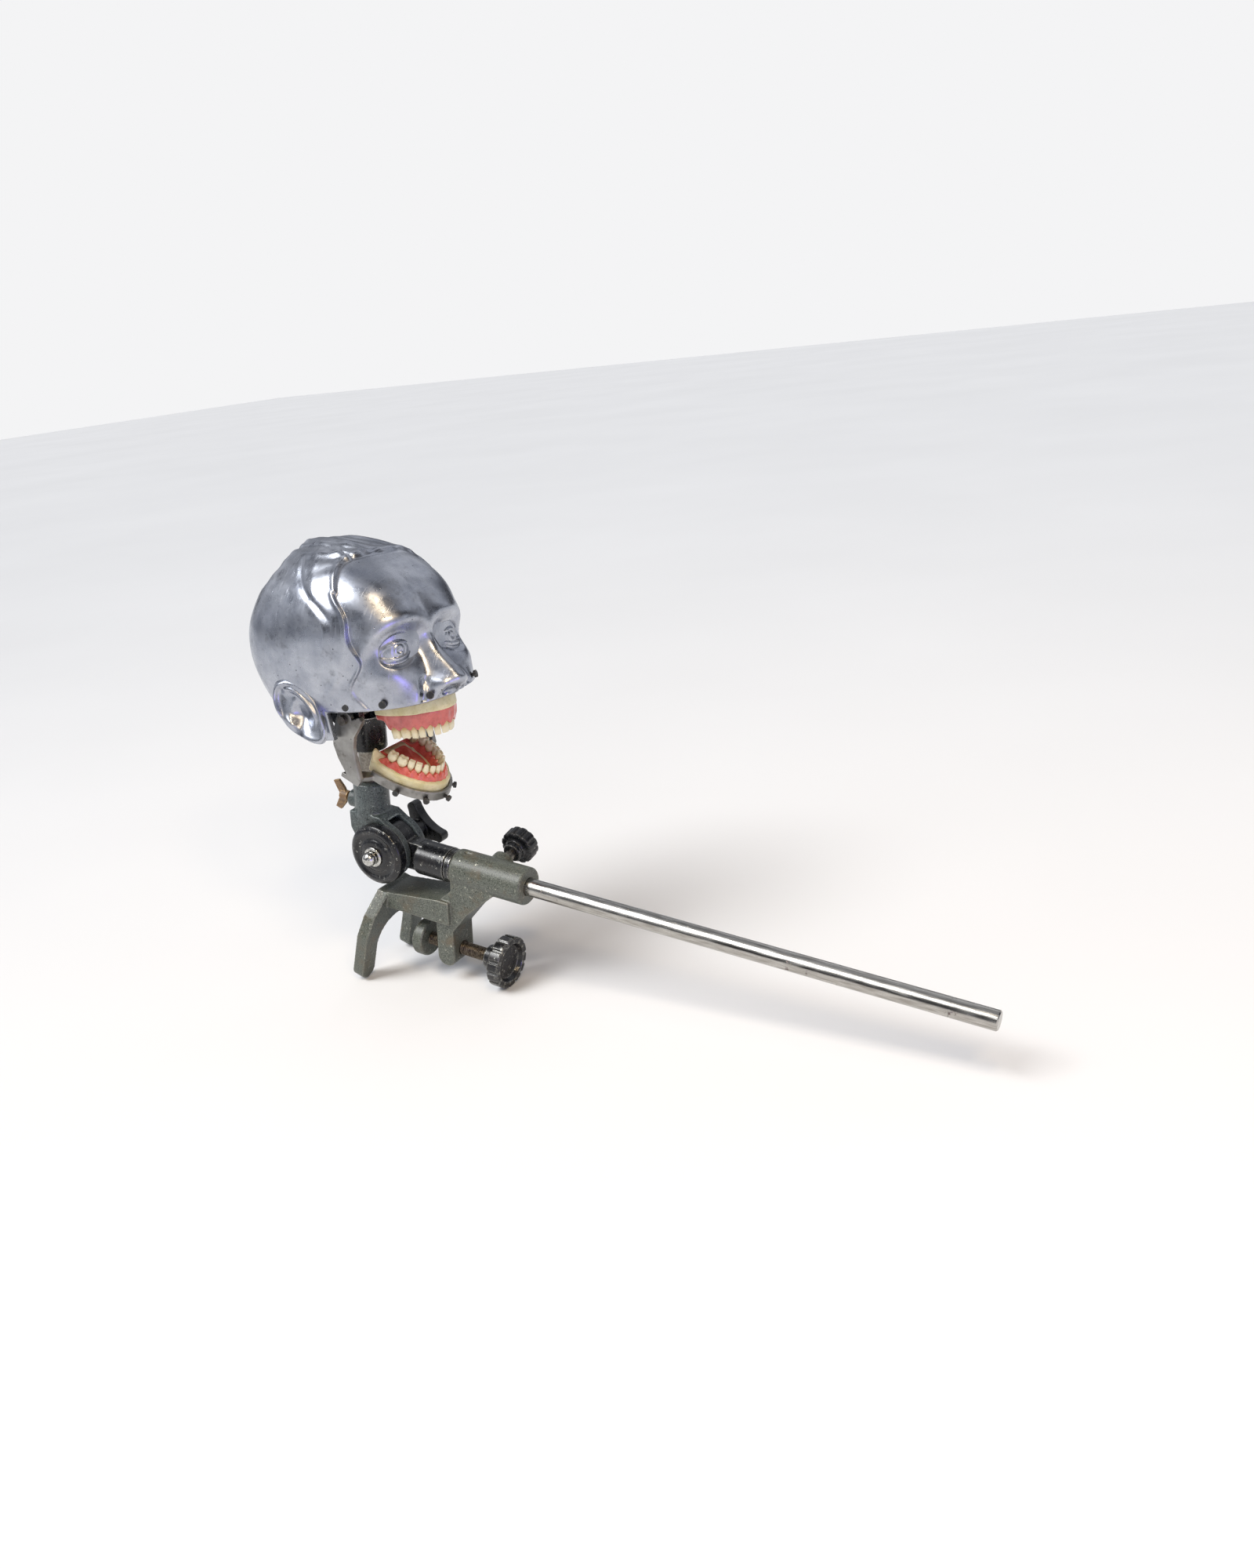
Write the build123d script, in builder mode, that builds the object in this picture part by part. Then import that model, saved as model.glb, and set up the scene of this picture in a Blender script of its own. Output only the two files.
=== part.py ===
from build123d import *
import math
import os

# A bench-mounted dental phantom head: a table clamp carries a sliding rod, a tilting knuckle, and a
# cast head shell with upper and lower practice jaws.  Millimetres.  The origin is on the rod's axis
# where it leaves the clamp's barrel; +X runs along the rod and is the way the face looks, +Z is up.

# --- driving dimensions -------------------------------------------------------------------------
ROD_D = 15.9
ROD_FREE_END = 408.0
ROD_MARK = 372.0                    # a turned witness groove near the free end
RUN_GAP = 0.05                      # radial clearance of anything that slides or turns
END_GAP = 0.2                       # axial gap beside anything that slides or turns

BARREL_D = 34.0
BARREL_LEFT = -75.6
RING_LEFT = -82.5
RING_D = 31.0
ARM_D = 32.0
ROD_HIDDEN_END = -110.0

KNUCKLE_X, KNUCKLE_Z = -150.0, 3.5
TONGUE_D, TONGUE_HALF = 50.0, 7.5
EAR_D, EAR_OUT = 54.0, 14.5
KNUCKLE_BOLT_D = 10.0
DISC_D, DISC_OUT = 57.0, 29.0

NECK_X, NECK_D = -170.5, 32.0
SOCKET_LOW, NECK_TOP = 31.5, 65.0
STEM_D, STEM_LOW, STEM_TOP = 18.0, 30.5, 122.0
WING_Z = 42.0

HEAD_ORIGIN = (-166.0, 0.0, 163.0)
HEAD_PITCH = 21.0
SHELL_WALL = 4.0

UPPER_INCISOR = (-75.5, 0.0, 130.5)
UPPER_PITCH = 8.0
CONDYLE = (-146.0, 0.0, 145.0)
CONDYLE_D = 6.0
CONDYLE_SLIDE = 8.0
JAW_OPEN = 28.5
JAW_FORWARD = 72.5                  # lower incisors ahead of the condyle axle, along the bite
JAW_BELOW = 24.8                    # and below it, square to the bite

SCREW_Z, SCREW_D = -84.0, 12.7
PLATE_UNDER = -52.5
PAD_FACE, PAD_D, PAD_W = -122.5, 35.0, 11.0
LEG_LEFT, LEG_RIGHT = -94.0, -75.0
KNOB_LEFT, KNOB_W, KNOB_R = -34.0, 12.5, 24.0

LOCK_X, LOCK_RISE = -41.0, 12.0
LOCK_D = 9.5

os.makedirs("parts", exist_ok=True)


def save(made, label):
    """Label a finished piece and write it as its own STEP file."""
    made.part.label = label
    export_step(made.part, f"parts/{label}.step")


def polar(radius, degrees):
    """The flat point at a given radius and bearing."""
    return (radius * math.cos(math.radians(degrees)), radius * math.sin(math.radians(degrees)))


def pitched(origin, degrees):
    """A plane whose x runs forward and rises by the given angle, with z as its own upward normal."""
    angle = math.radians(degrees)
    return Plane(origin=origin, x_dir=(math.cos(angle), 0, math.sin(angle)),
                 z_dir=(-math.sin(angle), 0, math.cos(angle)))


head = pitched(HEAD_ORIGIN, HEAD_PITCH)
bite = pitched(UPPER_INCISOR, UPPER_PITCH)
lower_pitch = UPPER_PITCH - JAW_OPEN
jaw_axes = pitched(CONDYLE, lower_pitch)
jaw = pitched(jaw_axes.from_local_coords(Vector(JAW_FORWARD, 0, -JAW_BELOW)), lower_pitch)
slot_axes = pitched(CONDYLE, UPPER_PITCH)


def across(plane, y):
    """The side-view plane of a pitched plane at a given Y: local x forward, local y up."""
    return Plane(origin=plane.origin + Vector(0, y, 0), x_dir=plane.x_dir, z_dir=(0, -1, 0))


# --- clamp casting: barrel, web, plate, forked fixed jaw and screw leg -----------------------------
lock_axis = Vector(0, math.cos(math.radians(LOCK_RISE)), math.sin(math.radians(LOCK_RISE)))
lock_plane = Plane(origin=(LOCK_X, 0, 0), x_dir=(1, 0, 0), z_dir=lock_axis)
fork_plane = Plane(origin=(-144.5, 0, -37.5), x_dir=(0, 1, 0),
                   z_dir=(math.cos(math.radians(13)), 0, -math.sin(math.radians(13))))
FORK_T = 12.0
FORK_LEG_OUT, FORK_LEG_IN = 43.0, 25.0
FORK_LEG_END = 81.0

with BuildPart() as clamp_body:
    with BuildSketch(Plane.YZ.offset(BARREL_LEFT)):
        Circle(BARREL_D / 2)
    extrude(amount=-BARREL_LEFT)
    chamfer(clamp_body.edges().filter_by(GeomType.CIRCLE), 1.2)
    with BuildSketch(Plane.XZ.offset(-19.0)):
        with BuildLine():
            Polyline((-148, -36.5), (-88, -29.0), (-76, -29.0), (-76, PLATE_UNDER),
                     (-148, PLATE_UNDER), close=True)
        make_face()
    extrude(amount=38.0)
    with BuildSketch(Plane.XZ.offset(-15.0)):
        with BuildLine():
            Polyline((LEG_LEFT, PLATE_UNDER + 6), (LEG_LEFT, -89.0))
            ThreePointArc((LEG_LEFT, -89.0), ((LEG_LEFT + LEG_RIGHT) / 2, -98.5), (LEG_RIGHT, -89.0))
            Polyline((LEG_RIGHT, -89.0), (LEG_RIGHT, -60.0), (-58.0, -38.0), (-30.0, -12.0),
                     (BARREL_LEFT, -8.0), (BARREL_LEFT, -18.5), (-88.0, -29.5),
                     (LEG_LEFT, PLATE_UNDER + 6))
        make_face()
    extrude(amount=30.0)
    with BuildSketch(fork_plane):
        with BuildLine():
            Polyline((-19, 0), (19, 0), (36, -22), (FORK_LEG_OUT, -42), (FORK_LEG_OUT, -FORK_LEG_END))
            ThreePointArc((FORK_LEG_OUT, -FORK_LEG_END), (34, -FORK_LEG_END - 9),
                          (FORK_LEG_IN, -FORK_LEG_END))
            Line((FORK_LEG_IN, -FORK_LEG_END), (FORK_LEG_IN, -57))
            ThreePointArc((FORK_LEG_IN, -57), (0, -57 + FORK_LEG_IN), (-FORK_LEG_IN, -57))
            Line((-FORK_LEG_IN, -57), (-FORK_LEG_IN, -FORK_LEG_END))
            ThreePointArc((-FORK_LEG_IN, -FORK_LEG_END), (-34, -FORK_LEG_END - 9),
                          (-FORK_LEG_OUT, -FORK_LEG_END))
            Polyline((-FORK_LEG_OUT, -FORK_LEG_END), (-FORK_LEG_OUT, -42), (-36, -22), (-19, 0))
        make_face()
    extrude(amount=-FORK_T)
    with BuildSketch(lock_plane.offset(BARREL_D / 2 - 6)):
        Circle(11.0)
    extrude(amount=12.0)
    with BuildSketch(Plane.YZ.offset(BARREL_LEFT - 1)):
        Circle(ROD_D / 2 + RUN_GAP)
    extrude(amount=-BARREL_LEFT + 2, mode=Mode.SUBTRACT)
    with BuildSketch(lock_plane):
        Circle(LOCK_D / 2 + RUN_GAP)
    extrude(amount=40.0, mode=Mode.SUBTRACT)
    with BuildSketch(Plane.YZ.offset(LEG_LEFT - 2)):
        with Locations((0, SCREW_Z)):
            Circle(SCREW_D / 2 + RUN_GAP)
    extrude(amount=LEG_RIGHT - LEG_LEFT + 4, mode=Mode.SUBTRACT)
    with BuildSketch(Plane.XY.offset(BARREL_D / 2 - 2.5)):
        with Locations((-63, 0)):
            SlotCenterToCenter(6, 3.5)
    extrude(amount=5, mode=Mode.SUBTRACT)
save(clamp_body, "clamp_body")

# --- rod and the collar that butts on the barrel -----------------------------------------------------
with BuildPart() as rod:
    with BuildSketch(Plane.YZ.offset(ROD_HIDDEN_END)):
        Circle(ROD_D / 2)
    extrude(amount=ROD_FREE_END - ROD_HIDDEN_END)
    chamfer(rod.edges().filter_by(GeomType.CIRCLE), 1.0)
    with BuildSketch(Plane.YZ.offset(ROD_MARK)):
        Circle(ROD_D / 2 + 1)
        Circle(ROD_D / 2 - 0.4, mode=Mode.SUBTRACT)
    extrude(amount=1.0, mode=Mode.SUBTRACT)
save(rod, "rod")

with BuildPart() as collar:
    with BuildSketch(Plane.YZ.offset(RING_LEFT)):
        Circle(RING_D / 2)
        Circle(ROD_D / 2, mode=Mode.SUBTRACT)
    extrude(amount=BARREL_LEFT - END_GAP - RING_LEFT)
    chamfer(collar.edges().filter_by(GeomType.CIRCLE).group_by(SortBy.RADIUS)[-1], 1.0)
save(collar, "collar")

# --- arm: a round stub on the rod's end that flattens into the knuckle's tongue ------------------------
with BuildPart() as stub_arm:
    with BuildSketch(Plane.YZ.offset(RING_LEFT - END_GAP)):
        Circle(ARM_D / 2)
    extrude(amount=-32.0)
    with BuildSketch(Plane.XZ.offset(-TONGUE_HALF)):
        with Locations((KNUCKLE_X, KNUCKLE_Z)):
            Circle(TONGUE_D / 2)
        with Locations((-122, 1.5)):
            Rectangle(24, 27)
    extrude(amount=2 * TONGUE_HALF)
    with BuildSketch(Plane.YZ.offset(RING_LEFT + 1)):
        Circle(ROD_D / 2 + RUN_GAP)
    extrude(amount=ROD_HIDDEN_END - END_GAP - RING_LEFT - 1, mode=Mode.SUBTRACT)
    with BuildSketch(Plane.XZ.offset(-20)):
        with Locations((KNUCKLE_X, KNUCKLE_Z)):
            Circle(KNUCKLE_BOLT_D / 2 + RUN_GAP)
    extrude(amount=40, mode=Mode.SUBTRACT)
save(stub_arm, "stub_arm")

# --- neck: a clevis on the tongue with the socket for the head's stem ------------------------------------
with BuildPart() as neck_socket:
    with BuildSketch(Plane.XZ.offset(-EAR_OUT)):
        with Locations((KNUCKLE_X, KNUCKLE_Z)):
            Circle(EAR_D / 2)
        with BuildLine():
            Polyline((-186.5, 20), (-172, -6), (-131, 22), (-152, 36), (-186.5, 36), close=True)
        make_face()
    extrude(amount=2 * EAR_OUT)
    with BuildSketch(Plane.XY.offset(SOCKET_LOW)):
        with Locations((NECK_X, 0)):
            Circle(NECK_D / 2)
    extrude(amount=NECK_TOP - SOCKET_LOW)
    chamfer(neck_socket.edges().filter_by(GeomType.CIRCLE).sort_by(Axis.Z)[-1], 1.5)
    with BuildSketch(Plane.YZ.offset(NECK_X - NECK_D / 2 - 7)):
        with Locations((0, WING_Z)):
            Circle(8.5)
    extrude(amount=14)
    with BuildSketch(Plane.XZ.offset(-TONGUE_HALF - END_GAP)):
        with Locations((KNUCKLE_X, KNUCKLE_Z)):
            Circle(TONGUE_D / 2 + 0.6)
        with Locations((KNUCKLE_X + 30, KNUCKLE_Z - 1)):
            Rectangle(60, 60)
        with Locations((KNUCKLE_X, KNUCKLE_Z - 20)):
            Rectangle(60, 40)
    extrude(amount=2 * (TONGUE_HALF + END_GAP), mode=Mode.SUBTRACT)
    with BuildSketch(Plane.XY.offset(STEM_LOW - END_GAP)):
        with Locations((NECK_X, 0)):
            Circle(STEM_D / 2 + RUN_GAP)
    extrude(amount=60, mode=Mode.SUBTRACT)
    with BuildSketch(Plane.XZ.offset(-30)):
        with Locations((KNUCKLE_X, KNUCKLE_Z)):
            Circle(KNUCKLE_BOLT_D / 2)
    extrude(amount=60, mode=Mode.SUBTRACT)
    with BuildSketch(Plane.YZ.offset(NECK_X - 40)):
        with Locations((0, WING_Z)):
            Circle(3.0 + RUN_GAP)
    extrude(amount=35, mode=Mode.SUBTRACT)
save(neck_socket, "neck_socket")

knuckle_near = Plane(origin=(KNUCKLE_X, 0, KNUCKLE_Z), x_dir=(1, 0, 0), z_dir=(0, -1, 0))

with BuildPart() as disc_cover:
    with BuildSketch(knuckle_near.offset(EAR_OUT)):
        Circle(DISC_D / 2)
    extrude(amount=DISC_OUT - EAR_OUT - 1.5)
    fillet(disc_cover.edges().filter_by(GeomType.CIRCLE).sort_by(Axis.Y)[0], 6.0)
    with BuildSketch(knuckle_near):
        Circle(KNUCKLE_BOLT_D / 2)
    extrude(amount=40, mode=Mode.SUBTRACT)
save(disc_cover, "disc_cover")

BOLT_FAR = 51.0
with BuildPart() as knuckle_bolt:
    with BuildSketch(knuckle_near.offset(-BOLT_FAR)):
        Circle(KNUCKLE_BOLT_D / 2)
    extrude(amount=BOLT_FAR + DISC_OUT - 1.5)
    with BuildSketch(knuckle_near.offset(DISC_OUT - 1.5)):
        Circle(9.5)
    extrude(amount=2.0)
    with Locations(knuckle_near.offset(DISC_OUT + 4.0)):
        Sphere(6.6)
save(knuckle_bolt, "knuckle_bolt")

WASHER_T = 2.0
with BuildPart() as knuckle_washer:
    with BuildSketch(knuckle_near.offset(-EAR_OUT - 0.1)):
        Circle(13.0)
        Circle(KNUCKLE_BOLT_D / 2 + RUN_GAP, mode=Mode.SUBTRACT)
    extrude(amount=-WASHER_T)
save(knuckle_washer, "knuckle_washer")

KNOB_NEAR, KNOB_FAR, LOBE_REACH = 38.0, 49.0, 24.5
with BuildPart() as tilt_knob:
    with BuildSketch(knuckle_near.offset(-EAR_OUT - 0.2 - WASHER_T)):
        Circle(10.0)
    extrude(amount=EAR_OUT + 0.2 + WASHER_T - KNOB_NEAR - 1)
    with BuildSketch(knuckle_near.offset(-KNOB_NEAR)):
        with BuildLine():
            for turn in (110, 230, 350):
                ThreePointArc(polar(LOBE_REACH, turn - 12), polar(LOBE_REACH + 2.5, turn),
                              polar(LOBE_REACH, turn + 12))
                ThreePointArc(polar(LOBE_REACH, turn + 12), polar(11.5, turn + 60),
                              polar(LOBE_REACH, turn + 108))
        make_face()
    extrude(amount=KNOB_NEAR - KNOB_FAR)
    fillet(tilt_knob.faces().sort_by(Axis.Y)[-1].edges(), 2.0)
    with BuildSketch(knuckle_near):
        Circle(KNUCKLE_BOLT_D / 2 + RUN_GAP)
    extrude(amount=-60, mode=Mode.SUBTRACT)
save(tilt_knob, "tilt_knob")

wing_plane = Plane(origin=(NECK_X, 0, WING_Z), x_dir=(0, 1, 0), z_dir=(-1, 0, 0))
WING_TIP = STEM_D / 2 + 0.1
with BuildPart() as wing_screw:
    with BuildSketch(wing_plane.offset(WING_TIP)):
        Circle(3.0)
    extrude(amount=24)
    with BuildSketch(wing_plane.offset(WING_TIP + 18)):
        Circle(5.0)
    extrude(amount=9)
    with BuildSketch(Plane(origin=(NECK_X, -1.6, WING_Z), x_dir=(-1, 0, 0), z_dir=(0, 1, 0))):
        for side in (-1, 1):
            with BuildLine():
                Polyline((WING_TIP + 20, 0), (WING_TIP + 23, side * 8), (WING_TIP + 29, side * 15),
                         (WING_TIP + 35, side * 13), (WING_TIP + 31, side * 5), (WING_TIP + 28, 0),
                         close=True)
            make_face()
    extrude(amount=3.2)
save(wing_screw, "wing_screw")

# --- skull: stem, inner frame, condyle lugs and the plate that carries the upper jaw ----------------------
POST_X, POST_D = -178.0, 20.0
CROSS_LOW, CROSS_TOP = 153.0, 167.0
LUG_IN, LUG_OUT = 40.0, 46.0
HUB_LOW = 98.0
UPPER_PLATE_LOW, UPPER_PLATE_T = 36.0, 5.0

with BuildPart() as head_stem:
    with BuildSketch(Plane.XY.offset(STEM_LOW)):
        with Locations((NECK_X, 0)):
            Circle(STEM_D / 2)
    extrude(amount=STEM_TOP - STEM_LOW)
    chamfer(head_stem.edges().filter_by(GeomType.CIRCLE), 1.0)
save(head_stem, "head_stem")

with BuildPart() as skull_frame:
    with BuildSketch(Plane.XY.offset(HUB_LOW)):
        with Locations((NECK_X, 0)):
            Circle(18.0)
    extrude(amount=STEM_TOP + 8 - HUB_LOW)
    with BuildSketch(Plane.XY.offset(HUB_LOW + 8)):
        with Locations((POST_X, 0)):
            Circle(POST_D / 2)
    extrude(amount=210 - HUB_LOW - 8)
    with BuildSketch(Plane.YZ.offset(-184)):
        with BuildLine():
            Polyline((-LUG_OUT, CROSS_LOW), (LUG_OUT, CROSS_LOW), (LUG_OUT, CROSS_TOP),
                     (-LUG_OUT, CROSS_TOP), close=True)
        make_face()
    extrude(amount=16)
    for start in (-LUG_OUT, LUG_IN):
        with BuildSketch(Plane.XZ.offset(start)):
            with BuildLine():
                Polyline((-184, CROSS_TOP), (-142, CROSS_TOP), (-135, 158), (-135, 139), (-141, 133),
                         (-160, 133), (-184, CROSS_LOW), close=True)
            make_face()
        extrude(amount=LUG_OUT - LUG_IN)
    with BuildSketch(Plane.XZ.offset(-8)):
        with BuildLine():
            Polyline((-178, 156), (-150, 156), (-112, 163.9), (-112, 176), (-150, 172), (-178, 172),
                     close=True)
        make_face()
    extrude(amount=16)
    with BuildSketch(Plane.XY.offset(HUB_LOW - 1)):
        with Locations((NECK_X, 0)):
            Circle(STEM_D / 2)
    extrude(amount=STEM_TOP - HUB_LOW + 1, mode=Mode.SUBTRACT)
    with BuildSketch(across(slot_axes, -60)):
        with Locations((-CONDYLE_SLIDE / 2, 0)):
            SlotCenterToCenter(CONDYLE_SLIDE, CONDYLE_D + 2 * RUN_GAP)
    extrude(amount=-120, mode=Mode.SUBTRACT)
    with BuildSketch(Plane.XY.offset(190)):
        with Locations((POST_X, 0)):
            Circle(4.0)
    extrude(amount=30, mode=Mode.SUBTRACT)
    with BuildSketch(bite.offset(UPPER_PLATE_LOW - 20)):
        with Locations((-25, 0)):
            Rectangle(70, 60)
    extrude(amount=20 + UPPER_PLATE_T, mode=Mode.SUBTRACT)
save(skull_frame, "skull_frame")

with BuildPart() as crown_stud:
    with BuildSketch(Plane.XY.offset(191)):
        with Locations((POST_X, 0)):
            Circle(4.0)
    extrude(amount=34)
save(crown_stud, "crown_stud")

# --- head shell: a hollow casting lofted through level sections of the head --------------------------------
# height above the ears' level, reach forward, reach back, half width
HEAD_SECTIONS = [(-48, 92, 60, 58), (-30, 95, 68, 61), (-12, 93, 78, 64), (8, 92, 85, 68), (30, 98, 88, 71),
                 (52, 97, 86, 71), (74, 86, 78, 65), (94, 67, 58, 52), (110, 44, 32, 34), (121, 14, 12, 11)]
HEAD_MIDDLE = -6.0
FACE_POWER, BACK_POWER = 3.0, 2.1    # how square the plan of the face and of the back of the head is


def head_section(height, front, back, half, inset=0.0):
    """One closed level section: a superellipse, squarer in front than behind."""
    points = []
    for step in range(24):
        angle = math.radians(15 * step)
        power = FACE_POWER if math.cos(angle) > 0 else BACK_POWER
        reach = (front - HEAD_MIDDLE if math.cos(angle) > 0 else back + HEAD_MIDDLE) - inset
        along = math.copysign(abs(math.cos(angle)) ** (2 / power), math.cos(angle))
        beside = math.copysign(abs(math.sin(angle)) ** (2 / power), math.sin(angle))
        points.append((HEAD_MIDDLE + reach * along, (half - inset) * beside))
    with BuildSketch(head.offset(height)) as section:
        with BuildLine():
            Spline(*points, periodic=True)
        make_face()
    return section.sketch


outer_sections = [head_section(*row) for row in HEAD_SECTIONS]
inner_sections = [head_section(HEAD_SECTIONS[0][0] - 4, *HEAD_SECTIONS[0][1:], SHELL_WALL)]
inner_sections += [head_section(*row, SHELL_WALL) for row in HEAD_SECTIONS[1:-2]]
inner_sections += [head_section(106, 44, 32, 34, SHELL_WALL), head_section(116, 14, 12, 11, SHELL_WALL)]

NOSE_SECTIONS = [(26, 88, 6, 6), (4, 88, 11, 8), (-14, 86, 21, 12), (-23, 86, 19, 15), (-36, 84, 13, 15)]
EDGE_EAR = (9.2, -13.6)             # lower edge of the shell where it meets the ear, in head coordinates
EDGE_SLOPE = -0.194
EAR_H, EAR_W, EAR_T = 64.0, 37.0, 9.0
EAR_FLARE, EAR_TILT = math.radians(20), math.radians(24)


def edge_height(x):
    """Height of the shell's lower edge ahead of the ears."""
    return EDGE_EAR[1] + EDGE_SLOPE * (x - EDGE_EAR[0])


STUD_SHANK, STUD_HEAD = 1.6, 3.2
EDGE_REACH, EDGE_HALF = 101.0, 62.3  # the shell's reach ahead of its middle and half width near its edge


def edge_point(x, side):
    """A point of the shell just above its lower edge, as a plane whose normal faces outward."""
    share = (x - HEAD_MIDDLE) / EDGE_REACH
    beside = (1 - share ** FACE_POWER) ** (1 / FACE_POWER)
    slope = share ** (FACE_POWER - 1) / EDGE_REACH
    out = head.x_dir * slope + Vector(0, side * beside ** (FACE_POWER - 1) / EDGE_HALF, 0)
    foot = head.from_local_coords(Vector(x, side * EDGE_HALF * beside, edge_height(x) + 5.0))
    return Plane(origin=foot, x_dir=head.z_dir.cross(out), z_dir=out)


stud_planes = [edge_point(x, side) for x in (31.0, 64.0, 91.0) for side in (-1, 1)]

with BuildPart() as head_shell:
    loft(outer_sections)
    for height, x, reach, half in NOSE_SECTIONS:
        with BuildSketch(head.offset(height)):
            with Locations((x, 0)):
                Ellipse(reach, half)
    loft()
    loft(inner_sections, mode=Mode.SUBTRACT)
    for side in (-1, 1):
        outward = head.x_dir * math.sin(EAR_FLARE) + Vector(0, side * math.cos(EAR_FLARE), 0)
        upward = head.z_dir * math.cos(EAR_TILT) - head.x_dir * math.sin(EAR_TILT)
        root = head.from_local_coords(Vector(-14, side * 65.3, -6))
        ear = Plane(origin=root, x_dir=upward, z_dir=outward)
        with BuildSketch(ear):
            Ellipse(EAR_H / 2, EAR_W / 2)
        extrude(amount=EAR_T + 3)
        with BuildSketch(ear.offset(EAR_T - 1)):
            with Locations((2, 0)):
                Ellipse(EAR_H / 2 - 7, EAR_W / 2 - 5)
        extrude(amount=8, mode=Mode.SUBTRACT)
    with BuildSketch(Plane.XY.offset(210.1)):
        with Locations((POST_X, 0)):
            Circle(10.0)
            Circle(4.0, mode=Mode.SUBTRACT)
    extrude(until=Until.NEXT)
    with BuildSketch(across(head, 110)):
        with BuildLine():
            Polyline((150, edge_height(150)), EDGE_EAR, (5, -38), (-10, -38), (-34, -20), (-52, -2),
                     (-110, 8), (-110, -90), (150, -90), close=True)
        make_face()
    extrude(amount=220, mode=Mode.SUBTRACT)
    for foot in stud_planes:
        with BuildSketch(foot.offset(-15)):
            Circle(STUD_SHANK)
        extrude(amount=30, mode=Mode.SUBTRACT)
save(head_shell, "head_shell")

with BuildPart() as mask_studs:
    for foot in stud_planes:
        with BuildSketch(foot.offset(-6)):
            Circle(STUD_SHANK)
        extrude(amount=8.5)
        with BuildSketch(foot.offset(2.1)):
            Circle(STUD_HEAD)
        extrude(amount=2.2)
save(mask_studs, "mask_studs")

# --- practice jaws -------------------------------------------------------------------------------------------
ARCH_DEPTH = 45.0
UPPER_HALF, LOWER_HALF = 27.0, 23.4
# width along the arch, depth cheek to tongue, crown height: from the middle incisor to the second molar
UPPER_TEETH = [(7.7, 6.6, 12.4), (5.9, 6.0, 11.8), (6.9, 7.2, 12.6), (6.3, 8.3, 11.8), (6.1, 8.2, 11.6),
               (9.3, 10.0, 11.4), (8.8, 9.8, 11.2)]
LOWER_TEETH = [(4.9, 5.4, 8.6), (5.3, 5.7, 8.8), (6.2, 6.8, 9.6), (6.4, 7.0, 8.4), (6.4, 7.2, 8.0),
               (9.9, 9.4, 7.6), (9.4, 9.2, 7.2)]
TOOTH_GAP = 0.25


def arch_places(teeth, half):
    """Centre and outward angle of each tooth on one side, stepping along the half-ellipse arch."""
    deep, wide = ARCH_DEPTH - 2.0, half - 2.0
    places = []
    angle, travelled, target = 0.0, 0.0, 0.0
    step = math.radians(0.1)
    for width, _, _ in teeth:
        target += width / 2
        while travelled < target:
            travelled += step * math.hypot(deep * math.sin(angle), wide * math.cos(angle))
            angle += step
        x = deep * math.cos(angle) - ARCH_DEPTH
        y = wide * math.sin(angle)
        outward = math.degrees(math.atan2(math.sin(angle) / wide, math.cos(angle) / deep))
        places.append((x, y, outward))
        target += width / 2
    return places


def tooth_planes(plane, teeth, half, up):
    """A plane at the tip of every tooth of one jaw: x faces outward, z points to the root."""
    placed = []
    for size, (x, y, outward) in zip(teeth, arch_places(teeth, half)):
        for side in (-1, 1):
            turn = math.radians(side * outward)
            facing = plane.x_dir * math.cos(turn) + plane.y_dir * math.sin(turn)
            spot = plane.from_local_coords(Vector(x, side * y, 0))
            placed.append((size, Plane(origin=spot, x_dir=facing, z_dir=plane.z_dir * up)))
    return placed


def jaw_outline(half, out, back):
    """A flat D-shaped jaw outline: half ellipse in front, straight sides behind."""
    reach, wide = ARCH_DEPTH + out, half + out
    with BuildSketch(Plane.XY) as outline:
        with BuildLine():
            EllipticalCenterArc((-ARCH_DEPTH, 0), reach, wide, -90, arc_size=180)
            Polyline((-ARCH_DEPTH, wide), (-back, wide), (-back, -wide), (-ARCH_DEPTH, -wide))
        make_face()
    return outline.sketch_local


UPPER_GUM, UPPER_BASE = 10.2, 22.0
BASE_BACK = 54.0
screw_grid = Plane(origin=bite.from_local_coords(Vector(-29, 0, 0)), x_dir=bite.x_dir, z_dir=bite.z_dir)
with BuildPart() as maxilla_plate:
    with BuildSketch(bite.offset(UPPER_PLATE_LOW)):
        with Locations((-28, 0)):
            RectangleRounded(46, 44, 10)
    extrude(amount=UPPER_PLATE_T)
    with BuildSketch(screw_grid.offset(UPPER_PLATE_LOW)):
        with GridLocations(18, 26, 2, 2):
            Circle(2.1)
    extrude(amount=UPPER_PLATE_T, mode=Mode.SUBTRACT)
save(maxilla_plate, "maxilla_plate")

with BuildPart() as upper_base:
    with BuildSketch(bite.offset(UPPER_BASE)):
        add(jaw_outline(UPPER_HALF, 5.5, BASE_BACK))
    extrude(amount=UPPER_PLATE_LOW - UPPER_BASE)
    with BuildSketch(screw_grid.offset(UPPER_PLATE_LOW - 12)):
        with GridLocations(18, 26, 2, 2):
            Circle(2.0)
    extrude(amount=12, mode=Mode.SUBTRACT)
save(upper_base, "upper_base")

with BuildPart() as upper_gum:
    with BuildSketch(bite.offset(UPPER_GUM)):
        add(jaw_outline(UPPER_HALF, 3.0, BASE_BACK - 1))
    with BuildSketch(bite.offset(UPPER_BASE)):
        add(jaw_outline(UPPER_HALF, 4.8, BASE_BACK - 1))
    loft()
    with BuildSketch(bite.offset(UPPER_GUM - 1)):
        add(jaw_outline(UPPER_HALF, -9.0, BASE_BACK + 2))
    extrude(amount=9.0, mode=Mode.SUBTRACT)
save(upper_gum, "upper_gum")

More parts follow.
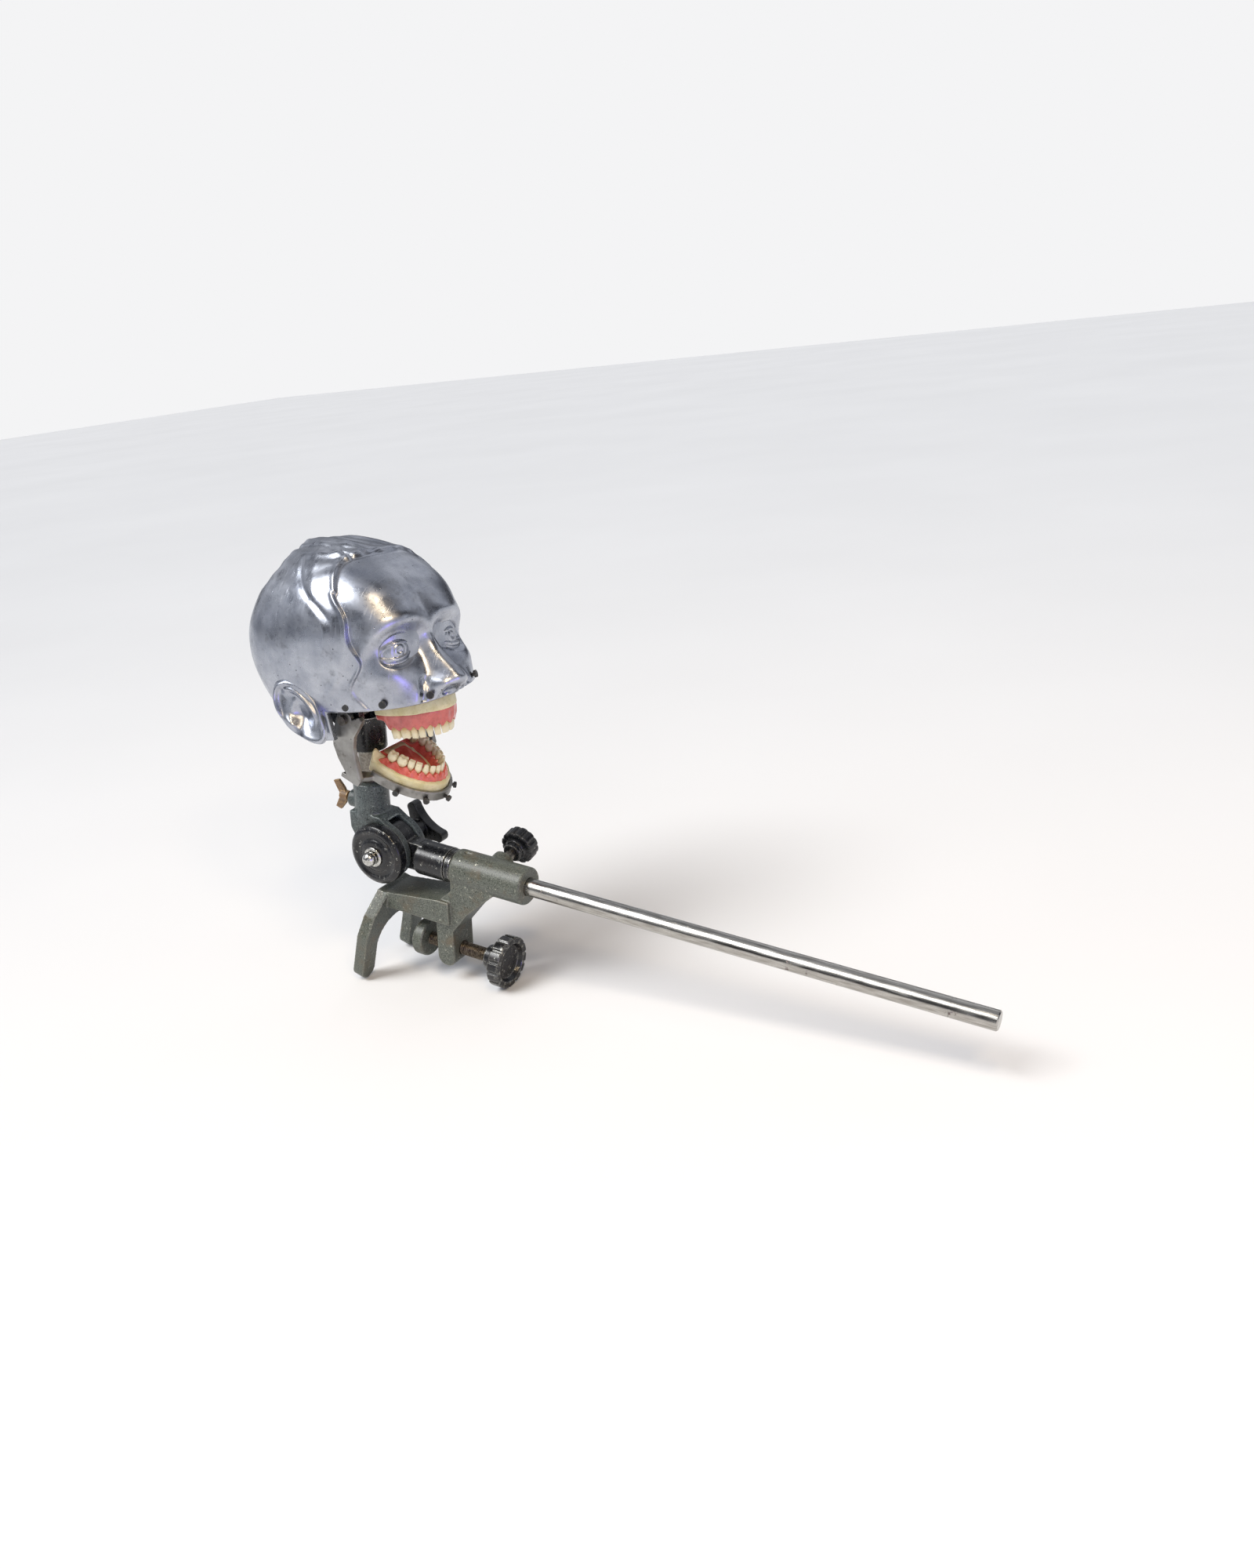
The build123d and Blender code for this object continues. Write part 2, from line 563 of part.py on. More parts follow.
with BuildPart() as upper_teeth:
    for (width, depth, height), tooth in tooth_planes(bite, UPPER_TEETH, UPPER_HALF, 1):
        edge = depth * (0.45 if depth < 7.0 else 0.72)
        with BuildSketch(tooth.offset(height * 0.97)):
            Ellipse(depth * 0.42, width * 0.38)
        with BuildSketch(tooth.offset(height * 0.45)):
            Ellipse(depth * 0.5, (width - TOOTH_GAP) / 2)
        with BuildSketch(tooth):
            Ellipse(edge / 2, width * 0.40)
        loft()
    with BuildSketch(bite.offset(UPPER_GUM)):
        Rectangle(200, 200)
    extrude(amount=10, mode=Mode.SUBTRACT)
save(upper_teeth, "upper_teeth")

with BuildPart() as upper_jaw_screws:
    with BuildSketch(screw_grid.offset(UPPER_PLATE_LOW - 11)):
        with GridLocations(18, 26, 2, 2):
            Circle(2.0)
    extrude(amount=11 + UPPER_PLATE_T)
    with BuildSketch(screw_grid.offset(UPPER_PLATE_LOW + UPPER_PLATE_T)):
        with GridLocations(18, 26, 2, 2):
            Circle(3.6)
    extrude(amount=2.6)
save(upper_jaw_screws, "upper_jaw_screws")

# --- condyle axle: slides in the frame's slots and carries the mandible ---------------------------------------
RAMUS_IN, RAMUS_OUT = 48.0, 53.0
with BuildPart() as condyle_axle:
    with BuildSketch(Plane.XZ.offset(-57.0)):
        with Locations((CONDYLE[0], CONDYLE[2])):
            Circle(CONDYLE_D / 2)
    extrude(amount=114)
    for start in (RAMUS_OUT + END_GAP, -RAMUS_OUT - END_GAP - 3.5):
        with BuildSketch(Plane.XZ.offset(-start - 3.5)):
            with Locations((CONDYLE[0], CONDYLE[2])):
                Circle(4.2)
        extrude(amount=3.5)
save(condyle_axle, "condyle_axle")

# --- mandible: two flat rami and a rimmed tray that holds the lower practice jaw --------------------------------
JAW_OUT, RIM_SHANK = 11.5, 1.5
LOWER_BASE_LOW, LOWER_GUM_LOW, LOWER_GUM = -24.5, -13.5, -8.0
TRAY_LOW, TRAY_RIM = -29.0, -20.0
rim_planes = []
for angle in (-62, -31, 0, 31, 62):
    turn = math.radians(angle)
    out = jaw.x_dir * (math.cos(turn) / (ARCH_DEPTH + JAW_OUT))
    out += jaw.y_dir * (math.sin(turn) / (LOWER_HALF + JAW_OUT))
    spot = Vector(ARCH_DEPTH * (math.cos(turn) - 1) + JAW_OUT * math.cos(turn),
                  (LOWER_HALF + JAW_OUT) * math.sin(turn), (TRAY_LOW + LOWER_BASE_LOW) / 2)
    rim_planes.append(Plane(origin=jaw.from_local_coords(spot), x_dir=jaw.z_dir.cross(out), z_dir=out))

with BuildPart() as rim_holes:
    for foot in rim_planes:
        with BuildSketch(foot.offset(-4)):
            Circle(RIM_SHANK)
        extrude(amount=8)

with BuildPart() as mandible_frame:
    with BuildSketch(jaw.offset(TRAY_LOW)):
        add(jaw_outline(LOWER_HALF, JAW_OUT, 46))
        for side in (-1, 1):
            with BuildLine():
                Polyline((-30, side * 30), (-42, side * 34.9), (-50, side * RAMUS_OUT),
                         (-63, side * RAMUS_OUT), (-60, side * 44), (-46, side * 28), close=True)
            make_face()
    extrude(amount=LOWER_BASE_LOW - TRAY_LOW)
    with BuildSketch(jaw.offset(LOWER_BASE_LOW)):
        add(jaw_outline(LOWER_HALF, JAW_OUT, 46))
        add(jaw_outline(LOWER_HALF, 8.3, 60), mode=Mode.SUBTRACT)
    extrude(amount=TRAY_RIM - LOWER_BASE_LOW)
    for start in (-RAMUS_IN, RAMUS_OUT):
        with BuildSketch(across(jaw, start)):
            with BuildLine():
                Polyline((-44, TRAY_LOW), (-42, -22), (-50, -10), (-57, 3), (-59, 14), (-56, 26),
                         (-55, 32), (-59, 35), (-64, 30), (-67, 25), (-80.5, 25), (-81.5, 8),
                         (-78, -4), (-70, -14), (-58, -24), (-50, TRAY_LOW), close=True)
            make_face()
            with Locations((-JAW_FORWARD, JAW_BELOW)):
                Circle(8.0)
        extrude(amount=RAMUS_OUT - RAMUS_IN)
    with BuildSketch(across(jaw, 60)):
        with Locations((-JAW_FORWARD, JAW_BELOW)):
            Circle(CONDYLE_D / 2 + RUN_GAP)
    extrude(amount=120, mode=Mode.SUBTRACT)
    with BuildSketch(jaw.offset(TRAY_LOW)):
        with Locations((-18, 0), (-34, 0)):
            Circle(2.1)
    extrude(amount=6, mode=Mode.SUBTRACT)
    add(rim_holes.part, mode=Mode.SUBTRACT)
save(mandible_frame, "mandible_frame")

with BuildPart() as lower_base:
    with BuildSketch(jaw.offset(LOWER_BASE_LOW)):
        add(jaw_outline(LOWER_HALF, 8.0, BASE_BACK))
    extrude(amount=LOWER_GUM_LOW - LOWER_BASE_LOW)
    with BuildSketch(jaw.offset(LOWER_GUM_LOW)):
        for side in (-1, 1):
            with Locations((-50, side * 23)):
                Rectangle(8, 16)
    extrude(amount=11)
    with BuildSketch(jaw.offset(LOWER_BASE_LOW)):
        with Locations((-18, 0), (-34, 0)):
            Circle(2.0)
    extrude(amount=10, mode=Mode.SUBTRACT)
save(lower_base, "lower_base")

with BuildPart() as lower_gum:
    with BuildSketch(jaw.offset(LOWER_GUM_LOW)):
        add(jaw_outline(LOWER_HALF, 6.5, 45.9))
    with BuildSketch(jaw.offset(LOWER_GUM)):
        add(jaw_outline(LOWER_HALF, 4.0, 45.9))
    loft()
    with BuildSketch(jaw.offset(LOWER_GUM_LOW + 1.5)):
        add(jaw_outline(LOWER_HALF, -9.0, 60))
    extrude(amount=12, mode=Mode.SUBTRACT)
save(lower_gum, "lower_gum")

with BuildPart() as lower_teeth:
    for (width, depth, height), tooth in tooth_planes(jaw, LOWER_TEETH, LOWER_HALF, -1):
        edge = depth * (0.45 if depth < 7.0 else 0.72)
        with BuildSketch(tooth.offset(height * 0.97)):
            Ellipse(depth * 0.42, width * 0.38)
        with BuildSketch(tooth.offset(height * 0.45)):
            Ellipse(depth * 0.5, (width - TOOTH_GAP) / 2)
        with BuildSketch(tooth):
            Ellipse(edge / 2, width * 0.40)
        loft()
    with BuildSketch(jaw.offset(LOWER_GUM)):
        Rectangle(200, 200)
    extrude(amount=-10, mode=Mode.SUBTRACT)
save(lower_teeth, "lower_teeth")

with BuildPart() as lower_jaw_screws:
    with BuildSketch(jaw.offset(TRAY_LOW)):
        with Locations((-18, 0), (-34, 0)):
            Circle(2.0)
    extrude(amount=LOWER_BASE_LOW - TRAY_LOW + 9)
    with BuildSketch(jaw.offset(TRAY_LOW)):
        with Locations((-18, 0), (-34, 0)):
            Circle(3.6)
    extrude(amount=-2.6)
save(lower_jaw_screws, "lower_jaw_screws")

with BuildPart() as rim_studs:
    for foot in rim_planes:
        with BuildSketch(foot.offset(-3)):
            Circle(RIM_SHANK)
        extrude(amount=5.5)
        with BuildSketch(foot.offset(2.5)):
            Circle(2.8)
        extrude(amount=2.2)
save(rim_studs, "rim_studs")

# --- clamp screw: swivel pad, threaded spindle, hub and castellated hand knob ---------------------------------
pad_plane = Plane(origin=(PAD_FACE, 0, SCREW_Z), x_dir=(0, 1, 0), z_dir=(1, 0, 0))
with BuildPart() as clamp_pad:
    with BuildSketch(pad_plane):
        Circle(PAD_D / 2)
    extrude(amount=PAD_W)
    chamfer(clamp_pad.edges().filter_by(GeomType.CIRCLE), 1.2)
    with BuildSketch(pad_plane.offset(4)):
        Circle(5.0 + RUN_GAP)
    extrude(amount=PAD_W, mode=Mode.SUBTRACT)
save(clamp_pad, "clamp_pad")

with BuildPart() as clamp_screw:
    with BuildSketch(pad_plane.offset(4 + END_GAP)):
        Circle(5.0)
    extrude(amount=PAD_W - 4)
    with BuildSketch(pad_plane.offset(PAD_W + END_GAP)):
        Circle(SCREW_D / 2)
    extrude(amount=KNOB_LEFT - 4 - PAD_FACE - PAD_W - END_GAP)
save(clamp_screw, "clamp_screw")

with BuildPart() as clamp_knob:
    with BuildSketch(pad_plane.offset(KNOB_LEFT - 12 - PAD_FACE)):
        Circle(11.0)
    extrude(amount=12)
    with BuildSketch(pad_plane.offset(KNOB_LEFT - PAD_FACE)):
        Circle(KNOB_R)
        with PolarLocations(KNOB_R + 0.6, 14):
            Rectangle(3.2, 4.2, mode=Mode.SUBTRACT)
    extrude(amount=KNOB_W)
    with BuildSketch(pad_plane.offset(KNOB_LEFT + KNOB_W - 5 - PAD_FACE)):
        Circle(17.0)
    extrude(amount=6, taper=-20, mode=Mode.SUBTRACT)
    with BuildSketch(pad_plane.offset(KNOB_LEFT - 13 - PAD_FACE)):
        Circle(SCREW_D / 2)
    extrude(amount=9, mode=Mode.SUBTRACT)
    with BuildSketch(Plane(origin=(KNOB_LEFT - 8, 0, SCREW_Z), z_dir=(0, -1, 0))):
        Circle(2.0)
    extrude(amount=14, mode=Mode.SUBTRACT)
save(clamp_knob, "clamp_knob")

with BuildPart() as knob_grub_screw:
    with BuildSketch(Plane(origin=(KNOB_LEFT - 8, -SCREW_D / 2, SCREW_Z), z_dir=(0, -1, 0))):
        Circle(2.0)
    extrude(amount=4.2)
save(knob_grub_screw, "knob_grub_screw")

# --- rod lock: brass plug, set screw and round fluted knob -------------------------------------------------------
PLUG_START = ROD_D / 2 + 0.1
with BuildPart() as lock_plug:
    with BuildSketch(lock_plane.offset(PLUG_START)):
        Circle(LOCK_D / 2)
    extrude(amount=3.0)
save(lock_plug, "lock_plug")

with BuildPart() as lock_screw:
    with BuildSketch(lock_plane.offset(PLUG_START + 3.0 + 0.1)):
        Circle(LOCK_D / 2)
    extrude(amount=36.0)
save(lock_screw, "lock_screw")

LOCK_KNOB_START = 34.0
with BuildPart() as lock_knob:
    with BuildSketch(lock_plane.offset(LOCK_KNOB_START)):
        Circle(9.0)
    extrude(amount=8)
    with BuildSketch(lock_plane.offset(LOCK_KNOB_START + 7)):
        Circle(16.5)
        with PolarLocations(18.0, 12):
            Circle(2.4, mode=Mode.SUBTRACT)
    extrude(amount=14)
    with BuildSketch(lock_plane.offset(LOCK_KNOB_START - 1)):
        Circle(LOCK_D / 2)
    extrude(amount=14.6, mode=Mode.SUBTRACT)
save(lock_knob, "lock_knob")
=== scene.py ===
import math
import bpy
import bmesh
import numpy as np
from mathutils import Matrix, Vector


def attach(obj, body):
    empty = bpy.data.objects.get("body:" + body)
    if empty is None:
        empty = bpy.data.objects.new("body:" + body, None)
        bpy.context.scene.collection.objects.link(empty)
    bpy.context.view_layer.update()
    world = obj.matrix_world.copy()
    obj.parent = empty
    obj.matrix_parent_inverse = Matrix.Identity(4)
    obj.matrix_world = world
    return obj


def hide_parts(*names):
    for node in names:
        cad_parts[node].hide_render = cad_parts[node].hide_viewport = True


# A bench-mounted dental phantom head, in metres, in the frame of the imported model: the origin is on the
# rod's axis at the outer face of the clamp's barrel, +X runs along the rod, +Z is up.
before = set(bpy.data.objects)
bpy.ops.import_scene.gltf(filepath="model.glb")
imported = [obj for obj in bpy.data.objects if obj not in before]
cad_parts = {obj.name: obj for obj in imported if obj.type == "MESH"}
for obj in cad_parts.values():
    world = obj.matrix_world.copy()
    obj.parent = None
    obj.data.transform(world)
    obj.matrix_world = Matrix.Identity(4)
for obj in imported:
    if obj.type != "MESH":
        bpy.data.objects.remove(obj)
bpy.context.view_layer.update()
MM = 0.001

# --- clamp casting --------------------------------------------------------------------------------
# One sand-cast iron body: barrel for the rod, web, plate, forked jaw and the leg for the clamp screw.
# Stove-enamelled grey-green with a hammered skin, rubbed to bright iron along the edges and browned
# where hands and oil have been.  Its corners carry the radii of the pattern.


def linear(code):
    """An sRGB hex colour as linear light."""
    parts = [int(code[i:i + 2], 16) / 255 for i in (1, 3, 5)]
    return tuple(c / 12.92 if c <= 0.04045 else ((c + 0.055) / 1.055) ** 2.4 for c in parts) + (1.0,)


def add(tree, kind, inputs=None, stops=None, **settings):
    """Adds one shader node with its settings, its socket values or links, and a ramp's stops."""
    made = tree.nodes.new("ShaderNode" + kind)
    for key, value in settings.items():
        setattr(made, key, value)
    for key, value in (inputs or {}).items():
        if isinstance(value, bpy.types.NodeSocket):
            tree.links.new(value, made.inputs[key])
        else:
            made.inputs[key].default_value = value
    for place, (position, colour) in enumerate(stops or []):
        ramp = made.color_ramp.elements
        stop = ramp[place] if place < 2 else ramp.new(position)
        stop.position, stop.color = position, colour
    return made


def noise(tree, place, size, detail, rough=0.5):
    """Cloudy noise whose clouds are about size millimetres across."""
    return add(tree, "TexNoise", {"Vector": place, "Scale": 1000 / size, "Detail": detail,
                                  "Roughness": rough})


def graded(tree, value, low, high, start=0.0, end=1.0):
    """A value carried from low..high onto start..end and held there beyond either end."""
    return add(tree, "MapRange", {"Value": value, "From Min": low, "From Max": high,
                                  "To Min": start, "To Max": end}).outputs[0]


def finish_material(name):
    """A new material with its principled shader and the object's own coordinates."""
    made = bpy.data.materials.new(name)
    made.use_nodes = True
    tree = made.node_tree
    shader = tree.nodes["Principled BSDF"]
    place = add(tree, "TexCoord").outputs["Object"]
    return made, tree, shader, place


def join(tree, source, shader, socket):
    """Links a socket to one of the shader's inputs."""
    tree.links.new(source, shader.inputs[socket])


def edge_mask(tree, place, radius, ragged, share=0.55):
    """1 along convex corners, broken up by patches of the given size: rounding turns the normal there."""
    rounded = add(tree, "Bevel", {"Radius": radius * MM}, samples=4).outputs[0]
    true = add(tree, "NewGeometry").outputs["Normal"]
    turned = add(tree, "VectorMath", {0: rounded, 1: true}, operation="DOT_PRODUCT").outputs["Value"]
    corner = graded(tree, turned, 0.992, 0.90)
    patch = noise(tree, place, ragged, 5.0, 0.7).outputs[0]
    kept = graded(tree, patch, share - 0.12, share)
    return add(tree, "Math", {0: corner, 1: kept}, operation="MULTIPLY").outputs[0]


def worn_enamel(name, body, pale, rust, metal, fleck, grain, wear, rough, hammer=0.25, wear_size=4.0):
    """Stoved enamel on iron: a colour mottled at two sizes, browned patches, bare metal on corners and in
    chips, and a hammered or orange-peel skin.  grain and wear_size are in millimetres."""
    made, tree, shader, place = finish_material(name)
    broad = noise(tree, place, 22, 6.0, 0.65)
    fine = noise(tree, place, grain, 4.0, 0.6)
    mottled = add(tree, "ValToRGB", {"Fac": fine.outputs[0]},
                  stops=[(0.34, linear(body)), (0.66, linear(pale))]).outputs[0]
    browned = graded(tree, broad.outputs[0], 0.52, 0.72)
    colour = add(tree, "MixRGB", {"Fac": browned, "Color1": mottled, "Color2": linear(rust)}).outputs[0]
    chips = noise(tree, place, fleck, 8.0, 0.75)
    chipped = graded(tree, chips.outputs[0], 0.665 - 0.05 * wear, 0.69 - 0.05 * wear)
    edge = edge_mask(tree, place, 1.8, wear_size, 0.60 - 0.12 * wear)
    bare = add(tree, "Math", {0: edge, 1: chipped}, operation="MAXIMUM").outputs[0]
    shown = add(tree, "MixRGB", {"Fac": bare, "Color1": colour, "Color2": linear(metal)}).outputs[0]
    roughness = graded(tree, fine.outputs[0], 0.3, 0.7, rough - 0.08, rough + 0.1)
    dent = add(tree, "Bump", {"Height": fine.outputs[0], "Strength": hammer,
                              "Distance": 0.4 * MM}).outputs[0]
    step = add(tree, "Bump", {"Height": bare, "Strength": 0.3, "Distance": -0.12 * MM,
                              "Normal": dent}).outputs[0]
    join(tree, shown, shader, "Base Color")
    join(tree, bare, shader, "Metallic")
    join(tree, roughness, shader, "Roughness")
    join(tree, step, shader, "Normal")
    return made


def put_mesh(name, points, faces, material, body, slot, *nodes, smooth=True):
    """Makes one finished piece from its corner points and faces; it rides on a body and stands for nodes."""
    mesh = bpy.data.meshes.new(name)
    mesh.from_pydata(points.reshape(-1, 3).tolist(), [], faces)
    mesh.update()
    made = bpy.data.objects.new(name, mesh)
    bpy.context.scene.collection.objects.link(made)
    mesh.polygons.foreach_set("use_smooth", [smooth] * len(mesh.polygons))
    mesh.materials.append(material)
    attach(made, body)
    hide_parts(*nodes)
    return made


def softened(node, voxel, passes, material, body, slot):
    """A cast or moulded copy of a CAD solid: its skin is rebuilt in even small faces and relaxed a few
    times, which turns sharp corners into radii and leaves the flats where they are."""
    rough = bpy.data.objects.new(node + "_rough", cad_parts[node].data.copy())
    bpy.context.scene.collection.objects.link(rough)
    welded = bmesh.new()
    welded.from_mesh(rough.data)
    bmesh.ops.remove_doubles(welded, verts=welded.verts, dist=1e-5)
    welded.to_mesh(rough.data)
    welded.free()
    skin = rough.modifiers.new("skin", "REMESH")
    skin.mode, skin.voxel_size = "VOXEL", voxel * MM
    relax = rough.modifiers.new("relax", "SMOOTH")
    relax.factor, relax.iterations = 0.5, passes
    done = rough.evaluated_get(bpy.context.evaluated_depsgraph_get())
    corners = np.empty(len(done.data.vertices) * 3, np.float32)
    done.data.vertices.foreach_get("co", corners)
    faces = [tuple(face.vertices) for face in done.data.polygons]
    bpy.data.objects.remove(rough)
    return put_mesh(node + "_cast", corners.reshape(-1, 3).astype(float), faces, material, body, slot, node)


def dress(material, *nodes):
    """Gives CAD nodes that stay in view their finish."""
    for node in nodes:
        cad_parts[node].data.materials.clear()
        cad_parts[node].data.materials.append(material)


hammered_iron = worn_enamel("hammered_green_enamel_on_iron", "#2E322C", "#6B7066", "#5E5442", "#B4B3A6",
                            4.0, 1.1, 1.1, 0.34, 0.5, 2.5)
softened("clamp_body", 0.85, 7, hammered_iron, "clamp", "clamp_paint")
softened("clamp_pad", 0.5, 4, hammered_iron, "clamp_pad", "clamp_paint")

# --- rod ------------------------------------------------------------------------------------------
# A straight 15.9 mm steel bar, centreless ground and nickel-plated.  The plating is dulled by faint
# hoop marks from sliding in the barrel and is pitted through to brown rust in patches.


def rusted_plate(name, bright, dull, rust, patch, cover, rough, along=(1.0, 1.0, 1.0)):
    """Plated steel: metal streaked along one way and eaten through to matt rust in patches."""
    made, tree, shader, place = finish_material(name)
    stretched = add(tree, "Mapping", {"Vector": place, "Scale": along}).outputs[0]
    streak = noise(tree, stretched, 2.0, 4.0).outputs[0]
    tone = add(tree, "ValToRGB", {"Fac": streak},
               stops=[(0.35, linear(dull)), (0.62, linear(bright))]).outputs[0]
    eaten = noise(tree, place, patch, 9.0, 0.72).outputs[0]
    pits = graded(tree, eaten, cover, cover + 0.03)
    shown = add(tree, "MixRGB", {"Fac": pits, "Color1": tone, "Color2": linear(rust)}).outputs[0]
    shine = add(tree, "MapRange", {"Value": pits, "To Min": 1.0, "To Max": 0.15}).outputs[0]
    scuffed = graded(tree, streak, 0.3, 0.7, rough - 0.06, rough + 0.08)
    dulled = add(tree, "Math", {0: scuffed, 1: pits, 2: 0.0}, operation="MULTIPLY_ADD").outputs[0]
    roughness = add(tree, "Math", {0: scuffed, 1: dulled}, operation="ADD").outputs[0]
    sunk = add(tree, "Bump", {"Height": pits, "Strength": 0.6, "Distance": -0.2 * MM}).outputs[0]
    join(tree, shown, shader, "Base Color")
    join(tree, shine, shader, "Metallic")
    join(tree, roughness, shader, "Roughness")
    join(tree, sunk, shader, "Normal")
    return made


nickel_bar = rusted_plate("nickel_plated_steel_bar", "#B9B7B2", "#9A9791", "#4B342A", 12.0, 0.64, 0.22,
                          (0.12, 1.0, 1.0))
dress(nickel_bar, "rod")

# --- collar and stub arm --------------------------------------------------------------------------
# The black-enamelled ring that butts on the barrel, and the round stub whose end is flattened into the
# knuckle's tongue.  The enamel is chipped to bright iron in scattered flakes and along the corners.
black_enamel = worn_enamel("chipped_black_enamel", "#0D0E11", "#1A1C20", "#211C1A", "#A9A9A2",
                           5.0, 2.2, 1.25, 0.24, 0.12, 3.0)
softened("stub_arm", 0.6, 6, black_enamel, "arm", "black_enamel")
dress(black_enamel, "collar", "skull_frame")

# --- neck socket ----------------------------------------------------------------------------------
# A cast clevis that straddles the tongue and rises into the round socket for the head's stem.  Blue-grey
# hammertone enamel, with the bright specks that its dimples leave and a worn upper rim.
hammertone = worn_enamel("blue_grey_hammertone", "#22282A", "#5B6564", "#3B3F3C", "#A5ACAA",
                         2.2, 1.4, 1.2, 0.32, 0.55, 3.0)
softened("neck_socket", 0.65, 6, hammertone, "neck", "hammertone")

# --- knuckle: disc cover, through bolt, washer and three-lobed knob -------------------------------
# The near ear carries a turned black disc with a raised rim, and a steel bolt through all three plates
# ends in a ball on a small plate.  The far end is tightened by a moulded knob with three lobes.


def turned(name, origin, axis, profile, material, body, slot, *nodes, swell=None, around=96):
    """A lathe shape: (along, radius) rows carried round an axis.  swell multiplies each radius by a
    function of the bearing and the place along, for flutes, lugs and threads."""
    rows = np.asarray(profile, float)
    axis = np.asarray(axis, float) / np.linalg.norm(axis)
    side = np.cross(axis, (0.0, 0.0, 1.0) if abs(axis[2]) < 0.9 else (1.0, 0.0, 0.0))
    side /= np.linalg.norm(side)
    other = np.cross(axis, side)
    bearing = np.arange(around) * 2 * np.pi / around
    along, radius = rows[:, :1], rows[:, 1:2] * np.ones(around)
    if swell is not None:
        radius = radius * swell(bearing[None, :], along, rows[:, 1:2])
    points = (np.asarray(origin) + along[..., None] * axis
              + (radius * np.cos(bearing))[..., None] * side + (radius * np.sin(bearing))[..., None] * other)
    faces = [face[::-1] for face in rings(len(rows), around)]
    return put_mesh(name, points * MM, faces, material, body, slot, *nodes)


def rings(rows, around):
    """Faces of a closed tube of point rows, with a flat fan over each end row."""
    start = (np.arange(rows - 1)[:, None] * around + np.arange(around)).ravel()
    following = (np.arange(rows - 1)[:, None] * around + (np.arange(around) + 1) % around).ravel()
    sides = np.stack([start, start + around, following + around, following], 1).tolist()
    first = list(range(around))
    last = [(rows - 1) * around + k for k in range(around)][::-1]
    return sides + [first, last]


def rounded(rows, radius, steps=4):
    """A profile with each inner corner replaced by an arc-like cut: a quadratic curve between the points
    that lie the given distance before and after the corner."""
    rows = np.asarray(rows, float)
    out = [rows[0]]
    for before, corner, after in zip(rows[:-2], rows[1:-1], rows[2:]):
        back, on = before - corner, after - corner
        reach_back = min(radius, np.linalg.norm(back) * 0.45)
        reach_on = min(radius, np.linalg.norm(on) * 0.45)
        a = corner + back / np.linalg.norm(back) * reach_back
        b = corner + on / np.linalg.norm(on) * reach_on
        t = np.linspace(0, 1, steps + 1)[:, None]
        out.extend((1 - t) ** 2 * a + 2 * t * (1 - t) * corner + t ** 2 * b)
    out.append(rows[-1])
    return np.array(out)


KNUCKLE = (-150.0, 0.0, 3.5)
DISC_PROFILE = [(14.5, 5.1), (14.5, 27.5), (17.0, 28.5), (24.5, 28.5), (26.6, 25.0), (26.9, 22.5), (25.4, 20.5),
                (25.2, 16.5), (26.8, 14.5), (27.5, 12.0), (27.5, 5.1)]
turned("disc_cover_turned", KNUCKLE, (0, -1, 0), rounded(DISC_PROFILE, 1.5), black_enamel, "neck",
       "black_enamel", "disc_cover")

polished_steel = rusted_plate("polished_steel", "#D5D5D2", "#A3A19C", "#5A4234", 5.0, 0.68, 0.20)
BALL_AT, BALL_R = 33.0, 6.6
ball = [(BALL_AT + BALL_R * math.sin(a), BALL_R * math.cos(a)) for a in np.radians(np.arange(-38, 90, 8))]
bolt_profile = [(-51.0, 0.4), (-51.0, 4.2), (-50.2, 5.0), (27.4, 5.0), (27.4, 9.2), (29.0, 9.5), (29.6, 8.8),
                (29.6, 5.3)] + ball
turned("knuckle_bolt_turned", KNUCKLE, (0, -1, 0), bolt_profile, polished_steel, "neck", "bright_steel",
       "knuckle_bolt")

machined_steel = rusted_plate("oiled_machined_steel", "#87827A", "#6A655D", "#43362B", 7.0, 0.66, 0.34)
dress(machined_steel, "knuckle_washer", "head_stem", "crown_stud", "upper_jaw_screws", "lower_jaw_screws",
      "knob_grub_screw", "lock_screw")

moulded_black = worn_enamel("moulded_black_phenolic", "#141517", "#1E2023", "#252120", "#6F6F69",
                            9.0, 3.0, 0.35, 0.30, 0.08, 6.0)
softened("tilt_knob", 0.5, 8, moulded_black, "tilt_knob", "bakelite")

# --- wing screw -----------------------------------------------------------------------------------
# A small cast brass wing screw that pinches the head's stem, gone brown all over but for its high spots.
brown_brass = worn_enamel("tarnished_cast_brass", "#5B4632", "#8A6E4C", "#4A3324", "#C0A070",
                          6.0, 1.2, 0.5, 0.45, 0.3, 3.0)
softened("wing_screw", 0.35, 4, brown_brass, "wing_screw", "brass")

# --- head shell -----------------------------------------------------------------------------------
# A hollow aluminium casting, hand-polished: brow, eyes and nose in relief, swept hair standing a little
# proud of the face, no lower face.  Its wall is 4 mm and its lower edge is filed straight.
SHELL_WALL = 4.0
HEAD_PLACE = np.array((-166.0, 0.0, 163.0))
HEAD_PITCH = math.radians(21)
HEAD_FORWARD = np.array((math.cos(HEAD_PITCH), 0, math.sin(HEAD_PITCH)))
HEAD_UP = np.array((-math.sin(HEAD_PITCH), 0, math.cos(HEAD_PITCH)))
SIDEWAYS = np.array((0.0, 1.0, 0.0))
HEAD_MIDDLE = -6.0
# height, reach ahead of the middle, reach behind it, half width: crown first; the first row mirrors the third
HEAD_ROWS = [(121.0, -20, -6, -11), (124.2, 0, 0, 0), (121, 20, 6, 11), (110, 50, 26, 34), (94, 73, 52, 52),
             (74, 92, 72, 65), (52, 103, 80, 71), (30, 104, 82, 71), (8, 98, 79, 68), (-12, 99, 72, 64),
             (-30, 101, 62, 61), (-48, 98, 54, 58), (-66, 96, 46, 55)]
FACE_CENTRE, FACE_ROLL = -6.0, 0.085     # the face looks a little to its right and droops to its left


